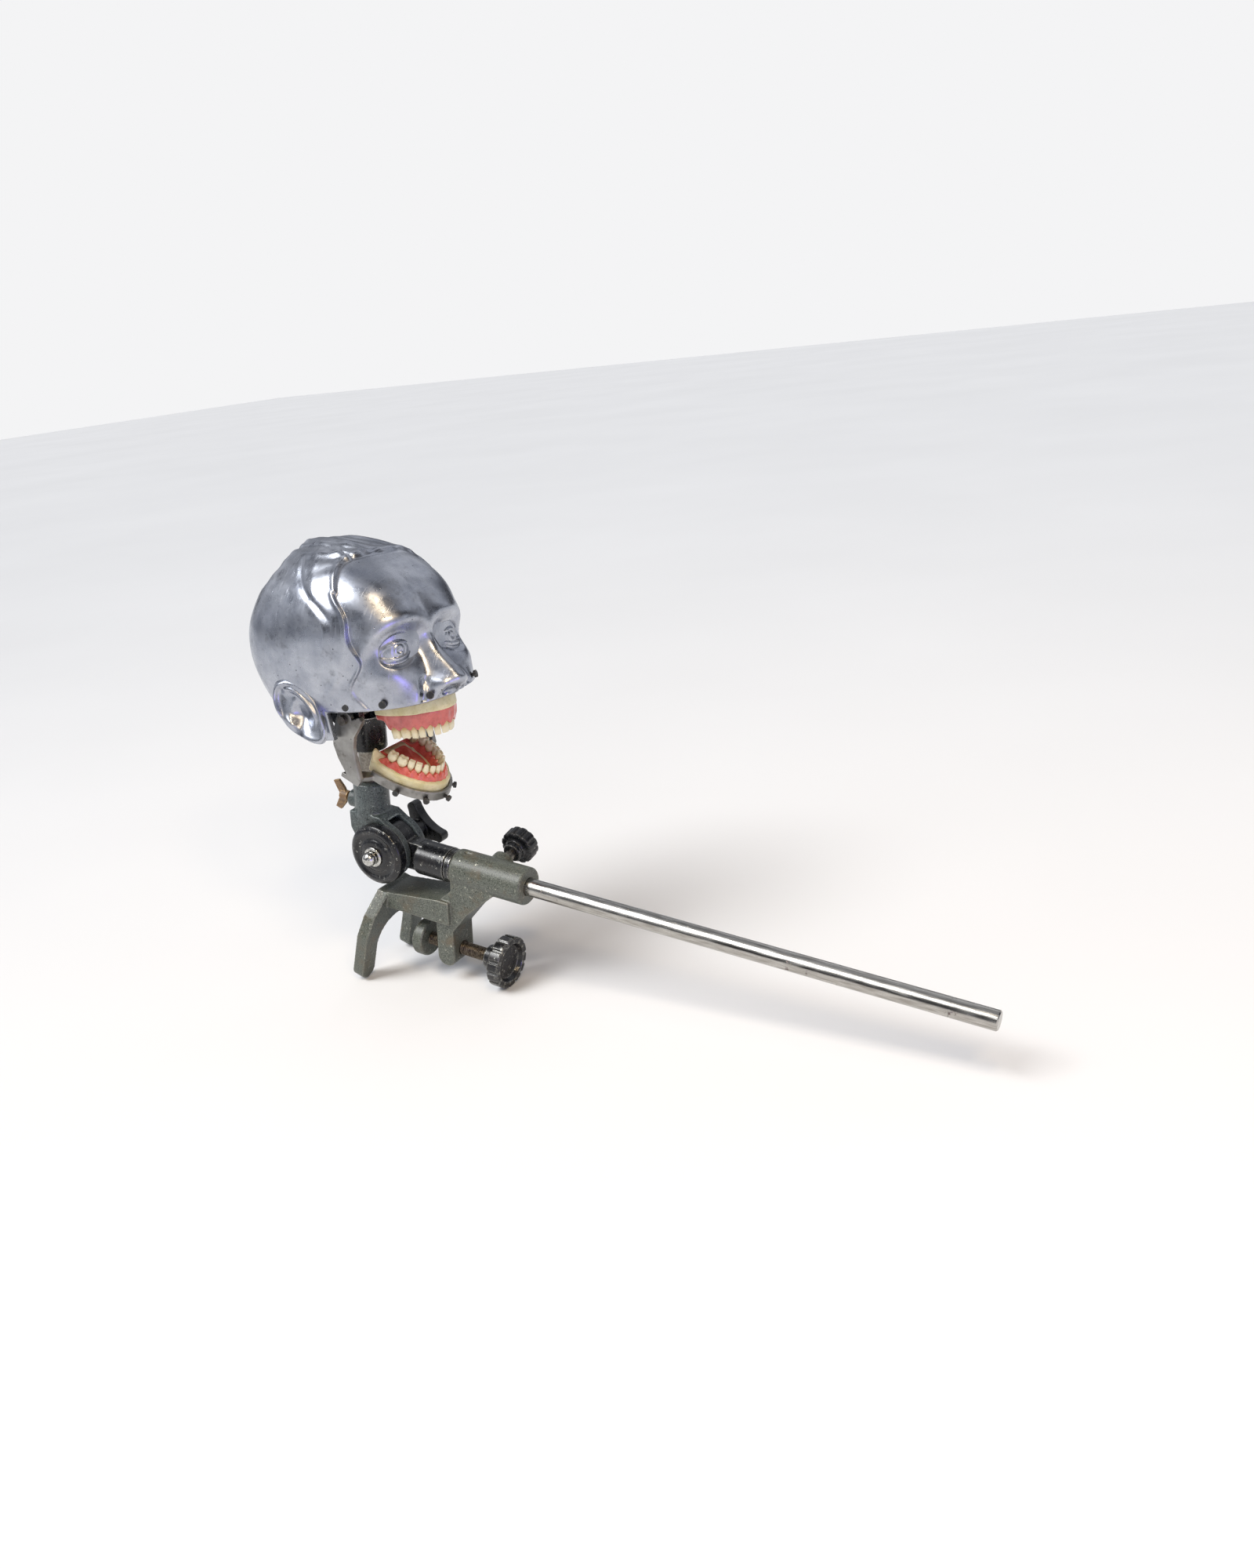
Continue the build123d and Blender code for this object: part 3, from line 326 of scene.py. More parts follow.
def through(rows, t):
    """A smooth curve through rows of numbers: each stretch is a cubic that leaves and reaches its ends
    with half the difference of the rows on either side."""
    rows = np.asarray(rows, float)
    i = np.clip(t.astype(int), 0, len(rows) - 2)
    f = (t - i)[..., None]
    a, b = rows[i], rows[i + 1]
    leave, reach = (b - rows[np.maximum(i - 1, 0)]) / 2, (rows[np.minimum(i + 2, len(rows) - 1)] - a) / 2
    return (a * (2 * f ** 3 - 3 * f ** 2 + 1) + leave * (f ** 3 - 2 * f ** 2 + f)
            + b * (3 * f ** 2 - 2 * f ** 3) + reach * (f ** 3 - f ** 2))


def ease(value, low, high):
    """0 below low, 1 above high, and a smooth step between."""
    t = np.clip((value - low) / (high - low), 0, 1)
    return t * t * (3 - 2 * t)


def mound(x, y, wide, tall):
    """A bell of height 1: one over e at the given half widths."""
    return np.exp(-(x / wide) ** 2 - (y / tall) ** 2)


def groove(distance, width):
    """A soft line of depth 1 along zero distance."""
    return np.exp(-(distance / width) ** 2)


def head_points(t, bearing, inset=0.0):
    """Level sections of the head: a superellipse, squarer ahead (power 3) than behind (power 2.1)."""
    height, ahead, behind, half = np.moveaxis(through(HEAD_ROWS, t), -1, 0)
    c, s = np.cos(bearing), np.sin(bearing)
    power = np.where(c > 0, 3.0, 2.1)
    reach = np.where(c > 0, ahead, behind)
    x = HEAD_MIDDLE + np.maximum(reach - inset, 0) * np.sign(c) * np.abs(c) ** (2 / power)
    y = np.maximum(half - inset, 0) * np.sign(s) * np.abs(s) ** (2 / power)
    return x, y, height


def lower_edge(x):
    """Height of the shell's lower edge: a straight cut ahead of the ears, a dip behind each lobe, and a
    rise to the nape."""
    behind = np.interp(x, [-110, -52, -34, -12, 2], [8, -2, -20, -36, -38])
    return np.where(x > 7, -13.6 - 0.194 * (x - 9.2), behind)


def bearings(ahead, behind):
    """Column bearings: closely spaced across the face, wider behind, symmetric about the middle."""
    face = np.linspace(-1.45, 1.45, ahead)
    back = np.linspace(1.45, 2 * np.pi - 1.45, behind + 2)[1:-1]
    return np.concatenate([face, back])


def relief(s, z, x, y, bearing):
    """Height of the face and hair over the plain head, in mm, where s is the distance round from the
    middle of the face and z the height.  Each feature is a bell, a ridge along a curve or a groove."""
    side, a = np.sign(s), np.abs(s)
    brow_line = 38.0 - 23 * (a / 70) ** 4 - 5.5 * groove(a, 9)
    above = z - brow_line
    brow = np.where(above > 0, np.exp(-(above / 11.0) ** 2), np.exp(-(above / 6.5) ** 2))
    brow = brow * ease(76 - a, 0, 26) * (3.2 + 1.6 * mound(a - 24, 0, 17, 1) - 1.0 * mound(a, 0, 7, 1))
    socket = -7.5 * mound(a - 29, z - 20, 22, 12.5) - 3.2 * mound(a - 16, z - 19, 8.5, 11)
    out, up = a - 33.0, z - 14.0 + 0.06 * (a - 33.0)
    ball_r = 13.5
    rho = np.sqrt((out * 0.70) ** 2 + (up * 0.98) ** 2)
    ball = np.sqrt(np.maximum(ball_r ** 2 - rho ** 2, 0)) - ball_r - 1.6
    wide = np.clip(1 - (out / 17.0) ** 2, 0, 1)
    upper, lower = 6.6 * wide ** 0.75, -4.2 * wide ** 0.9
    opening = ease(upper - up, -0.35, 0.6) * ease(up - lower, -0.35, 0.6) * ease(wide, 0.0, 0.02)
    lids = ball + 1.9 * (1 - opening)
    iris = np.sqrt((out + 0.5) ** 2 + (up - 0.8) ** 2)
    stare = opening * (-0.45 * groove(iris - 5.4, 0.8) - 1.3 * ease(2.7 - iris, 0, 1.3))
    covered = ease(ball_r - 0.3 - rho, 0.0, 6.5)
    eyes = socket * (1 - covered) + (lids + stare) * covered
    crease = upper + 4.4 + 1.6 * wide
    eyes = eyes - 1.2 * groove(up - crease, 1.3) * ease(wide, 0.02, 0.3)
    eyes = eyes + 0.9 * groove(up - crease - 2.4, 1.9) * ease(wide, 0.0, 0.4)
    eyes = eyes - 0.8 * groove(up - lower + 4.2, 1.5) * ease(wide, 0.1, 0.5)
    cheek = 3.6 * mound(a - 47, z + 3, 18, 13) + 2.0 * mound(a - 24, z + 22, 14, 9)
    cheek = cheek - 2.6 * groove(a - 23 - 0.42 * (-17 - z), 3.4) * ease(-z, 8, 18)
    temple = -3.0 * mound(a - 70, z - 34, 16, 22)
    forehead = 2.0 * mound(a - 20, z - 62, 22, 15)
    face = brow + eyes + cheek + temple + forehead

    border = np.degrees(np.abs(bearing)) + 1.6 * np.sin(z / 6.5) * (z < 72)
    border = np.sqrt(np.sqrt((border / 57) ** 4 + (np.clip(z - 8, 0, None) / 89) ** 4))
    border = border - 0.16 * ease(14 - z, 0, 22)
    hair = ease(border, 0.985, 1.035)
    edge_ridge = 1.6 * groove(border - 1.03, 0.028)
    bend = y / 9 + 1.4 * np.sin(x / 24 + 0.6) + 0.5 * np.sin(y / 13 + x / 31)
    strands = 0.5 * np.sin(bend * 2.1) * ease(z, 58, 96)
    strands = strands + 0.28 * np.sin(bend * 5.3 + x / 15) * ease(z, 70, 100)
    strands = strands + 0.35 * np.sin(x / 9 + z / 14 + side) * ease(70 - z, 0, 40) * 0.4
    parting = groove(y + 21 + 0.22 * (x - 40), 2.0) * ease(x, -40, 5) * ease(z, 84, 94)
    lock = groove(np.degrees(np.abs(bearing)) - 71 - 5 * np.sin((z - 70) / 14), 2.2)
    lock = lock * ease(z, 44, 60) * ease(112 - z, 0, 14)
    curl = 2.0 * mound(x - 45, y + 25, 5, 5) + 1.8 * mound(x - 52, y + 11, 6, 5)
    curl = curl + 1.5 * mound(x - 41, y + 8, 7, 5)
    curl = (curl - 1.2 * mound(x - 47, y + 17, 4, 3)) * ease(z, 80, 92)
    second_wave = 0.9 * groove(border - 1.25, 0.05)
    hairwork = hair * (2.2 + strands - 2.0 * parting - 1.3 * lock + curl + second_wave)
    return face * (1 - hair) + hairwork + edge_ridge * ease(z, -12, 6)


def nose(s, z):
    """How far the nose stands forward of the face: a bridge that rises to the tip, two wings beside it
    and two hollows beneath."""
    # height on the head, forward reach, half width
    rows = np.array([(34, 0.4, 11.0), (26, 1.4, 9.0), (20, 3.6, 8.2), (10, 8.0, 8.8), (0, 12.4, 10.0),
                     (-8, 16.2, 11.0), (-14, 19.2, 11.6), (-19, 20.2, 11.6), (-24, 17.0, 11.4),
                     (-28, 10.0, 10.6), (-33, 3.6, 9.0), (-60, 3.0, 9.0)])[::-1]
    at = np.interp(z, rows[:, 0], np.arange(len(rows), dtype=float))
    _, reach, half = np.moveaxis(through(rows, at), -1, 0)
    body = reach * np.exp(-np.abs(s / half) ** 3.0)
    wings = 7.2 * mound(np.abs(s) - 14.0, z + 20.5, 4.6, 7.0)
    wing_crease = -1.6 * groove(np.abs(s) - 19.5 + 0.12 * (z + 20), 1.8) * ease(-z, 8, 15)
    nostrils = -8.0 * mound(np.abs(s) - 7.6, z + 27.0, 4.0, 2.8)
    return body + wings + wing_crease + nostrils


def shell_mesh():
    """The outer skin from the crown to the lower edge, turned round the edge and back up inside as a
    plain inner wall; rows run down, columns run round."""
    bearing = bearings(330, 96)
    x0, _, _ = head_points(np.full(bearing.shape, 9.2), bearing)
    edge = lower_edge(x0)
    levels = np.linspace(1.0, float(len(HEAD_ROWS) - 1), 4000)
    table = through(HEAD_ROWS, levels)[:, 0]
    top = np.linspace(1.0, 6.0, 62)
    top_height = through(HEAD_ROWS, top)[:, 0]
    share = np.linspace(0, 1, 150)[1:]
    height = np.concatenate([np.repeat(top_height[:, None], len(bearing), 1),
                             top_height[-1] + (edge - top_height[-1]) * share[:, None]])
    t = np.interp(-height, -table, levels)
    bear = np.broadcast_to(bearing, t.shape)
    x, y, z = head_points(t, bear)
    gap = np.hypot(np.diff(x, axis=1), np.diff(y, axis=1))
    around = np.concatenate([np.zeros((len(t), 1)), np.cumsum(gap, 1)], 1)
    middle = np.argmin(np.abs(bearing))
    s = around - around[:, middle:middle + 1]
    full = around[:, -1:] + np.hypot(x[:, :1] - x[:, -1:], y[:, :1] - y[:, -1:])
    s = np.where(s > full / 2, s - full, s) - FACE_CENTRE
    level = z + FACE_ROLL * np.clip(s, -70, 70)
    local = np.stack([x, y, z], -1)
    down, round_ = np.gradient(local, axis=0), np.gradient(local, axis=1)
    round_[:, 0], round_[:, -1] = local[:, 1] - local[:, -1], local[:, 0] - local[:, -2]
    normal = np.cross(down, round_)
    normal /= np.linalg.norm(normal, axis=-1, keepdims=True) + 1e-9
    normal[:2] = (0, 0, 1)
    ahead = ease(np.cos(bear), 0.25, 0.7)[..., None]
    push = normal + ahead * np.array((0.8, 0, 0))
    push /= np.linalg.norm(push, axis=-1, keepdims=True)
    fade = ease(z - np.broadcast_to(edge, z.shape), -0.5, 2.5) * 0.7 + 0.3
    signed = np.where(np.abs(bear) > np.pi, bear - 2 * np.pi, bear)
    skin = local + push * (relief(s, level, x, y, signed) * fade)[..., None]
    skin = skin + np.array((1.0, 0, 0)) * nose(s, level)[..., None]
    rim = skin[-1] - normal[-1] * 1.2 + np.array((0, 0, -0.6))
    inner_x, inner_y, _ = head_points(t[-1], bearing, SHELL_WALL)
    inner_low = np.stack([inner_x, inner_y, edge - 0.4], -1)
    inner_t = np.linspace(1.0, 0, 14)[:, None] * (t[-1] - 2.0) + 2.0
    ix, iy, iz = head_points(inner_t, np.broadcast_to(bearing, inner_t.shape[:1] + bearing.shape), SHELL_WALL)
    inside = np.stack([ix, iy, iz - SHELL_WALL * ease(iz, 60, 121)], -1)
    grid = np.concatenate([skin[1:], rim[None], inner_low[None], inside])
    points = HEAD_PLACE + grid[..., :1] * HEAD_FORWARD + grid[..., 1:2] * SIDEWAYS + grid[..., 2:] * HEAD_UP
    return points * MM


def cast_aluminium(name, bright, dull, grime, rough, scratch):
    """Polished sand casting: silver mottled by polishing, scratched in crossed directions, with small
    blow holes and grey grime left in the hollows."""
    made, tree, shader, place = finish_material(name)
    broad = noise(tree, place, 30, 5.0, 0.6)
    tone = add(tree, "ValToRGB", {"Fac": broad.outputs[0]},
               stops=[(0.35, linear(dull)), (0.62, linear(bright))]).outputs[0]
    marks = None
    for turn, stretch in ((0.5, 34), (2.1, 26), (1.2, 30)):
        turned_place = add(tree, "Mapping", {"Vector": place, "Rotation": (turn, turn * 1.7, turn),
                                             "Scale": (stretch, 1.0, 1.0)}).outputs[0]
        lines = noise(tree, turned_place, 26, 3.0, 0.5).outputs[0]
        thin = graded(tree, lines, 0.66, 0.72)
        if marks is not None:
            thin = add(tree, "Math", {0: marks, 1: thin}, operation="MAXIMUM").outputs[0]
        marks = thin
    cells = add(tree, "TexVoronoi", {"Vector": place, "Scale": 1000 / 9.0}).outputs["Distance"]
    holes = graded(tree, cells, 0.07, 0.04)
    smear = noise(tree, place, 12, 7.0, 0.7)
    soiled = graded(tree, smear.outputs[0], 0.56, 0.74, 0.0, 0.75)
    shown = add(tree, "MixRGB", {"Fac": soiled, "Color1": tone, "Color2": linear(grime)}).outputs[0]
    pitted = add(tree, "MixRGB", {"Fac": holes, "Color1": shown, "Color2": linear("#3A3B3E")}).outputs[0]
    base_rough = graded(tree, smear.outputs[0], 0.3, 0.75, rough - 0.07, rough + 0.16)
    roughness = add(tree, "Math", {0: marks, 1: 0.14, 2: base_rough}, operation="MULTIPLY_ADD").outputs[0]
    cut = add(tree, "Bump", {"Height": marks, "Strength": scratch, "Distance": -0.05 * MM}).outputs[0]
    dimple = add(tree, "Bump", {"Height": holes, "Strength": 0.6, "Distance": -0.25 * MM,
                                "Normal": cut}).outputs[0]
    wave = add(tree, "Bump", {"Height": broad.outputs[0], "Strength": 0.25, "Distance": 1.2 * MM,
                              "Normal": dimple}).outputs[0]
    join(tree, pitted, shader, "Base Color")
    join(tree, roughness, shader, "Roughness")
    join(tree, wave, shader, "Normal")
    shader.inputs["Metallic"].default_value = 1.0
    return made


EAR_LONG_HALF, EAR_WIDE_HALF = 33.0, 19.5
EAR_TILT, EAR_FLARE = math.radians(24), math.radians(20)
EAR_ROOT = (-15.0, 66.5, -6.0)


def ear_mesh(side):
    """One ear over an ellipse: rings from the middle out to the rim and down to the root.  A rolled rim,
    an inner fold that forks, a deep bowl and a flat lobe are heights over the ellipse."""
    rho = np.concatenate([np.linspace(0.02, 0.9, 40), np.linspace(0.92, 1.0, 8), np.full(6, 1.0)])[:, None]
    phi = (np.arange(120) * 2 * np.pi / 120)[None, :]
    squeeze = 1 - 0.24 * ease(-np.cos(phi), 0.0, 1.0)
    up = rho * np.cos(phi) * EAR_LONG_HALF
    back = rho * np.sin(phi) * EAR_WIDE_HALF * squeeze
    lobe = ease(-up, 14, 26)
    ring = np.exp(-((rho - 0.88) / 0.085) ** 2)
    rim = np.maximum(ring * (1 - 0.75 * lobe) * ease(back, -12, 2), ring * ease(up, 2, 16))
    fold_at = np.hypot((up - 2) / 21, (back - 0.5) / 10.0)
    fold = groove(fold_at - 1, 0.20) * ease(back, -4, 3) * ease(up, -22, -8)
    fork = groove(up - 9 - 0.5 * back, 2.6) * ease(back, -9, -3) * ease(7 - back, 0, 6)
    bowl = mound(up + 4, back + 2.0, 11, 7.5)
    tragus = mound(up + 2, back + 13.0, 6.5, 3.5)
    height = 5.6 + 4.2 * rim + 2.8 * fold + 1.4 * fork - 7.0 * bowl + 3.0 * tragus + 1.4 * lobe
    height = height - 2.2 * ease(rho, 0.93, 1.0)
    drop = np.concatenate([np.zeros(48), np.linspace(0.12, 1, 6)])[:, None]
    height = height * (1 - drop) - drop * (2.0 + 4.0 * ease(back, -6, 12))
    tuck = 1 - 0.20 * drop
    outward = HEAD_FORWARD * math.sin(EAR_FLARE) + SIDEWAYS * side * math.cos(EAR_FLARE)
    upward = HEAD_UP * math.cos(EAR_TILT) - HEAD_FORWARD * math.sin(EAR_TILT)
    rearward = np.cross(outward, upward) * side
    root = HEAD_PLACE + HEAD_FORWARD * EAR_ROOT[0] + SIDEWAYS * side * EAR_ROOT[1] + HEAD_UP * EAR_ROOT[2]
    points = (root + (up * tuck)[..., None] * upward + (back * tuck)[..., None] * rearward
              + height[..., None] * outward)
    return points if side > 0 else points[:, ::-1]


polished_casting = cast_aluminium("polished_cast_aluminium", "#B6BAC3", "#979CA8", "#6F7278", 0.26, 0.5)
shell_points = shell_mesh()
put_mesh("head_shell_casting", shell_points, rings(*shell_points.shape[:2]), polished_casting,
         "skull", "cast_aluminium", "head_shell")
for side, name in ((-1, "ear_right"), (1, "ear_left")):
    ear_points = ear_mesh(side)
    put_mesh(name, ear_points * MM, rings(*ear_points.shape[:2]), polished_casting, "skull",
             "cast_aluminium")

black_studs = worn_enamel("blackened_steel_studs", "#17181A", "#2A2B2D", "#332A24", "#75746E",
                          3.0, 1.0, 0.4, 0.45, 0.2, 2.0)
dress(black_studs, "mask_studs", "rim_studs")
satin_casting = cast_aluminium("satin_cast_aluminium", "#A3A29F", "#7F7D7A", "#66635E", 0.42, 0.4)
dress(satin_casting, "maxilla_plate")

# --- practice jaws: cream bases -------------------------------------------------------------------
# Two D-shaped blocks cast in cream resin.  Their rims are trimmed by hand, so the edges are soft and a
# little uneven, and the resin is faintly yellowed and scuffed.
UPPER_TIP, UPPER_PITCH = np.array((-75.5, 0.0, 130.5)), math.radians(8)
CONDYLE = np.array((-146.0, 0.0, 145.0))
LOWER_PITCH = math.radians(8 - 28.5)


def jaw_axes(pitch):
    """Forward and upward directions of a jaw whose bite plane has the given pitch."""
    return (np.array((math.cos(pitch), 0, math.sin(pitch))), np.array((-math.sin(pitch), 0, math.cos(pitch))))


LOWER_FORWARD, LOWER_UP = jaw_axes(LOWER_PITCH)
LOWER_TIP = CONDYLE + 72.5 * LOWER_FORWARD - 24.8 * LOWER_UP
UPPER = (UPPER_TIP, *jaw_axes(UPPER_PITCH), 1)       # tip, forward, up, and the way from crown to root
LOWER = (LOWER_TIP, LOWER_FORWARD, LOWER_UP, -1)
ARCH_DEPTH = 45.0
UPPER_HALF, LOWER_HALF = 27.0, 23.4


def in_jaw(jaw, x, y, z):
    """Row-frame points, in metres, of places measured from a jaw's middle incisor tip."""
    tip, forward, up, _ = jaw
    return (tip + x[..., None] * forward + y[..., None] * SIDEWAYS + z[..., None] * up) * MM


def d_outline(half, out, back, turn):
    """A D seen from above: a half ellipse in front, and behind it a squarish superellipse."""
    c, s = np.cos(turn), np.sin(turn)
    wide = half + out
    x = np.where(c > 0, -ARCH_DEPTH + (ARCH_DEPTH + out) * c,
                 -ARCH_DEPTH - (back - ARCH_DEPTH) * np.abs(c) ** 0.3)
    y = np.where(c > 0, wide * s, wide * np.sign(s) * np.abs(s) ** 0.3)
    return x, y


def wander(seed, turn, size):
    """A smooth hand-made unevenness round a closed outline: a few sines of random phase."""
    phase = np.random.default_rng(seed).uniform(0, 2 * np.pi, 5)
    waves = np.arange(2, 7)
    return size * sum(np.sin(turn * n * 2 + p) / n for n, p in zip(waves, phase))


def d_block(name, jaw, half, rows, back, seed, pads, material, body, slot, *nodes):
    """A D-shaped block: (out, height) rows carried round the outline, then drawn in to its middle.
    pads is how far its top rises behind the last molars."""
    turn = np.linspace(-np.pi, np.pi, 240, endpoint=False)
    layers = []
    for place, (out, height) in enumerate(rows):
        x, y = d_outline(half, out + wander(seed + place // 3, turn, 0.5), back, turn)
        raised = ease(np.abs(turn), 1.5, 1.9) * ease(2.75 - np.abs(turn), 0, 0.4)
        lift = pads * raised * (place > len(rows) - 4)
        layers.append((x, y, height + lift + wander(seed + 9, turn, 0.35) * (height > rows[0][1] + 2)))
    x, y, z = (np.stack(part) for part in zip(*layers))
    inward = np.array([0.0, 0.35, 0.75])[:, None]
    close_low = [inward[::-1] * x[:1] + (1 - inward[::-1]) * -28, inward[::-1] * y[:1],
                 np.repeat(z[:1], 3, 0)]
    level = rows[-1][1]
    close_top = [inward[::-1] * x[-1:] + (1 - inward[::-1]) * -28, inward[::-1] * y[-1:],
                 level + (z[-1:] - level) * inward[::-1] ** 6]
    x = np.concatenate([close_low[0][::-1], x, close_top[0]])
    y = np.concatenate([close_low[1][::-1], y, close_top[1]])
    z = np.concatenate([close_low[2][::-1], z, close_top[2]])
    faces = rings(len(x), len(turn))
    faces = [face[::-1] for face in faces]
    return put_mesh(name, in_jaw(jaw, x, y, z), faces, material, body, slot, *nodes)


def moulded_resin(name, body, deep, stain, rough, lumps, glow=0.15, radius=(1.6, 0.9, 0.5), coat=0.0):
    """Cast resin: soft light under the surface, a colour that drifts, small stains and a faint grain."""
    made, tree, shader, place = finish_material(name)
    drift = noise(tree, place, 9, 5.0, 0.6)
    fine = noise(tree, place, 1.6, 5.0, 0.65)
    tone = add(tree, "ValToRGB", {"Fac": drift.outputs[0]},
               stops=[(0.36, linear(deep)), (0.6, linear(body))]).outputs[0]
    dirt = graded(tree, fine.outputs[0], 0.56, 0.75, 0.0, 0.55)
    shown = add(tree, "MixRGB", {"Fac": dirt, "Color1": tone, "Color2": linear(stain)}).outputs[0]
    roughness = graded(tree, fine.outputs[0], 0.3, 0.7, rough - 0.06, rough + 0.08)
    surface = add(tree, "Bump", {"Height": drift.outputs[0], "Strength": lumps,
                                 "Distance": 0.5 * MM}).outputs[0]
    join(tree, shown, shader, "Base Color")
    join(tree, roughness, shader, "Roughness")
    join(tree, surface, shader, "Normal")
    shader.inputs["Subsurface Weight"].default_value = glow
    shader.inputs["Subsurface Radius"].default_value = tuple(r * MM for r in radius)
    shader.inputs["Subsurface Scale"].default_value = 1.0
    shader.inputs["Coat Weight"].default_value = coat
    shader.inputs["Coat Roughness"].default_value = 0.08
    return made


cream_resin = moulded_resin("cream_casting_resin", "#E2D9B2", "#CFC492", "#A8946A", 0.42, 0.3)
d_block("upper_base_block", UPPER, UPPER_HALF,
        [(3.8, 21.4), (5.0, 22.0), (5.6, 23.2), (5.5, 28.0), (5.3, 34.6), (4.4, 35.9)],
        54.0, 3, 0.0, cream_resin, "skull", "plaster", "upper_base")
d_block("lower_base_block", LOWER, LOWER_HALF,
        [(6.4, -24.4), (7.6, -24.0), (8.0, -22.6), (7.6, -19.0), (7.9, -15.6), (8.0, -14.2), (7.0, -13.0),
         (4.6, -12.8)], 54.0, 21, 9.0, cream_resin, "jaw", "plaster", "lower_base")

# --- practice jaws: teeth -------------------------------------------------------------------------
# Fourteen ivory crowns a side, each a separate pegged tooth: thin-edged incisors, pointed canines, and
# cusped premolars and molars, a little yellower at the neck.
UPPER_TEETH = [(7.7, 6.6, 12.4), (5.9, 6.0, 11.8), (6.9, 7.2, 12.6), (6.3, 8.3, 11.8), (6.1, 8.2, 11.6),
               (9.3, 10.0, 11.4), (8.8, 9.8, 11.2)]
LOWER_TEETH = [(4.9, 5.4, 8.6), (5.3, 5.7, 8.8), (6.2, 6.8, 9.6), (6.4, 7.0, 8.4), (6.4, 7.2, 8.0),
               (9.9, 9.4, 7.6), (9.4, 9.2, 7.2)]


def arch_turns(teeth, half):
    """Bearings of each tooth's middle and of the gaps between, measured by walking the arch."""
    turn = np.linspace(0, 2.2, 4000)
    deep, wide = ARCH_DEPTH - 2.0, half - 2.0
    pace = np.hypot(deep * np.sin(turn), wide * np.cos(turn))
    walked = np.concatenate([[0], np.cumsum((pace[1:] + pace[:-1]) / 2 * np.diff(turn))])
    ends = np.cumsum([0.0] + [width for width, _, _ in teeth])
    return np.interp((ends[1:] + ends[:-1]) / 2, walked, turn), np.interp(ends, walked, turn)


def crown_points(width, depth, height, kind):
    """One crown about its own tip, x to the cheek, y along the arch, z to the root: a superellipse drawn
    up the side walls, narrowed at the neck, then carried over the biting face, whose height is a ridge,
    a point or four cusps round a hollow."""
    v = np.linspace(0, 1, 26)[:, None]
    u = (np.arange(36) * 2 * np.pi / 36)[None, :]
    wall = np.clip(v / 0.66, 0, 1)
    top = np.clip((v - 0.66) / 0.34, 0, 1)
    front = kind in ("incisor", "canine")
    power = 2.3 if front else 2.9
    c, s = np.cos(u), np.sin(u)
    shape_c = np.sign(c) * np.abs(c) ** (2 / power)
    shape_s = np.sign(s) * np.abs(s) ** (2 / power)
    neck = 0.80 + 0.20 * ease(wall, 0.0, 0.55)
    thin = 1 - (0.70 if kind == "incisor" else 0.50 if kind == "canine" else 0.20) * ease(wall, 0.25, 1.05)
    waist = 1 - (0.05 if kind == "incisor" else 0.34 if kind == "canine" else 0.10) * ease(wall, 0.55, 1.0)
    shrink = np.sqrt(np.clip(1 - top ** 1.6, 0, 1))
    x = depth / 2 * neck * thin * shape_c * shrink
    y = (width / 2 - 0.12) * neck * waist * shape_s * shrink
    lean = (0.12 if front else 0.0) * depth * ease(wall, 0.2, 1.0)
    rest = 1.1
    z = rest + (height * 1.12 - rest) * (1 - wall) ** 0.92
    px, py = x / (depth / 2), y / (width / 2)
    if kind == "incisor":
        face = rest - 1.0 * np.sqrt(top)
    elif kind == "canine":
        face = rest - 1.9 * top ** 0.8
    elif kind == "premolar":
        cusps = groove(px - 0.42, 0.30) + 0.85 * groove(px + 0.42, 0.30)
        face = rest + 0.2 - 1.5 * cusps * ease(top, 0, 0.3)
    else:
        cusps = groove(np.abs(px) - 0.42, 0.30) * (0.55 + 0.45 * groove(np.abs(py) - 0.48, 0.28))
        face = rest + 0.3 - 1.6 * cusps * ease(top, 0, 0.3)
    z = np.where(top > 0, face, z)
    return np.stack([x + lean, np.broadcast_to(y, x.shape), np.broadcast_to(z, x.shape)], -1)


def teeth_mesh(jaw, teeth, half, seed):
    """All the crowns of one jaw as a stack of equal grids, each turned to face outward and set by hand:
    a small random lean, turn and height."""
    root = jaw[3]
    middles, _ = arch_turns(teeth, half)
    kinds = ("incisor", "incisor", "canine", "premolar", "premolar", "molar", "molar")
    chance = np.random.default_rng(seed)
    stacked = []
    for (width, depth, height), turn, kind in zip(teeth, middles, kinds):
        local = crown_points(width, depth, height, kind)
        for side in (-1, 1):
            x = (ARCH_DEPTH - 2) * math.cos(turn) - ARCH_DEPTH
            y = side * (half - 2) * math.sin(turn)
            face = side * math.atan2(math.sin(turn) / (half - 2), math.cos(turn) / (ARCH_DEPTH - 2))
            face += chance.uniform(-0.06, 0.06)
            outward = np.array((math.cos(face), math.sin(face)))
            along = np.array((-outward[1], outward[0]))
            flat = local[..., :1] * outward + local[..., 1:2] * along * (-root)
            flat = flat + np.array((x, y)) + local[..., 2:] * outward * chance.uniform(-0.03, 0.05)
            high = root * (local[..., 2] + chance.uniform(-0.2, 0.25))
            stacked.append(in_jaw(jaw, flat[..., 0], flat[..., 1], high))
    return np.array(stacked)


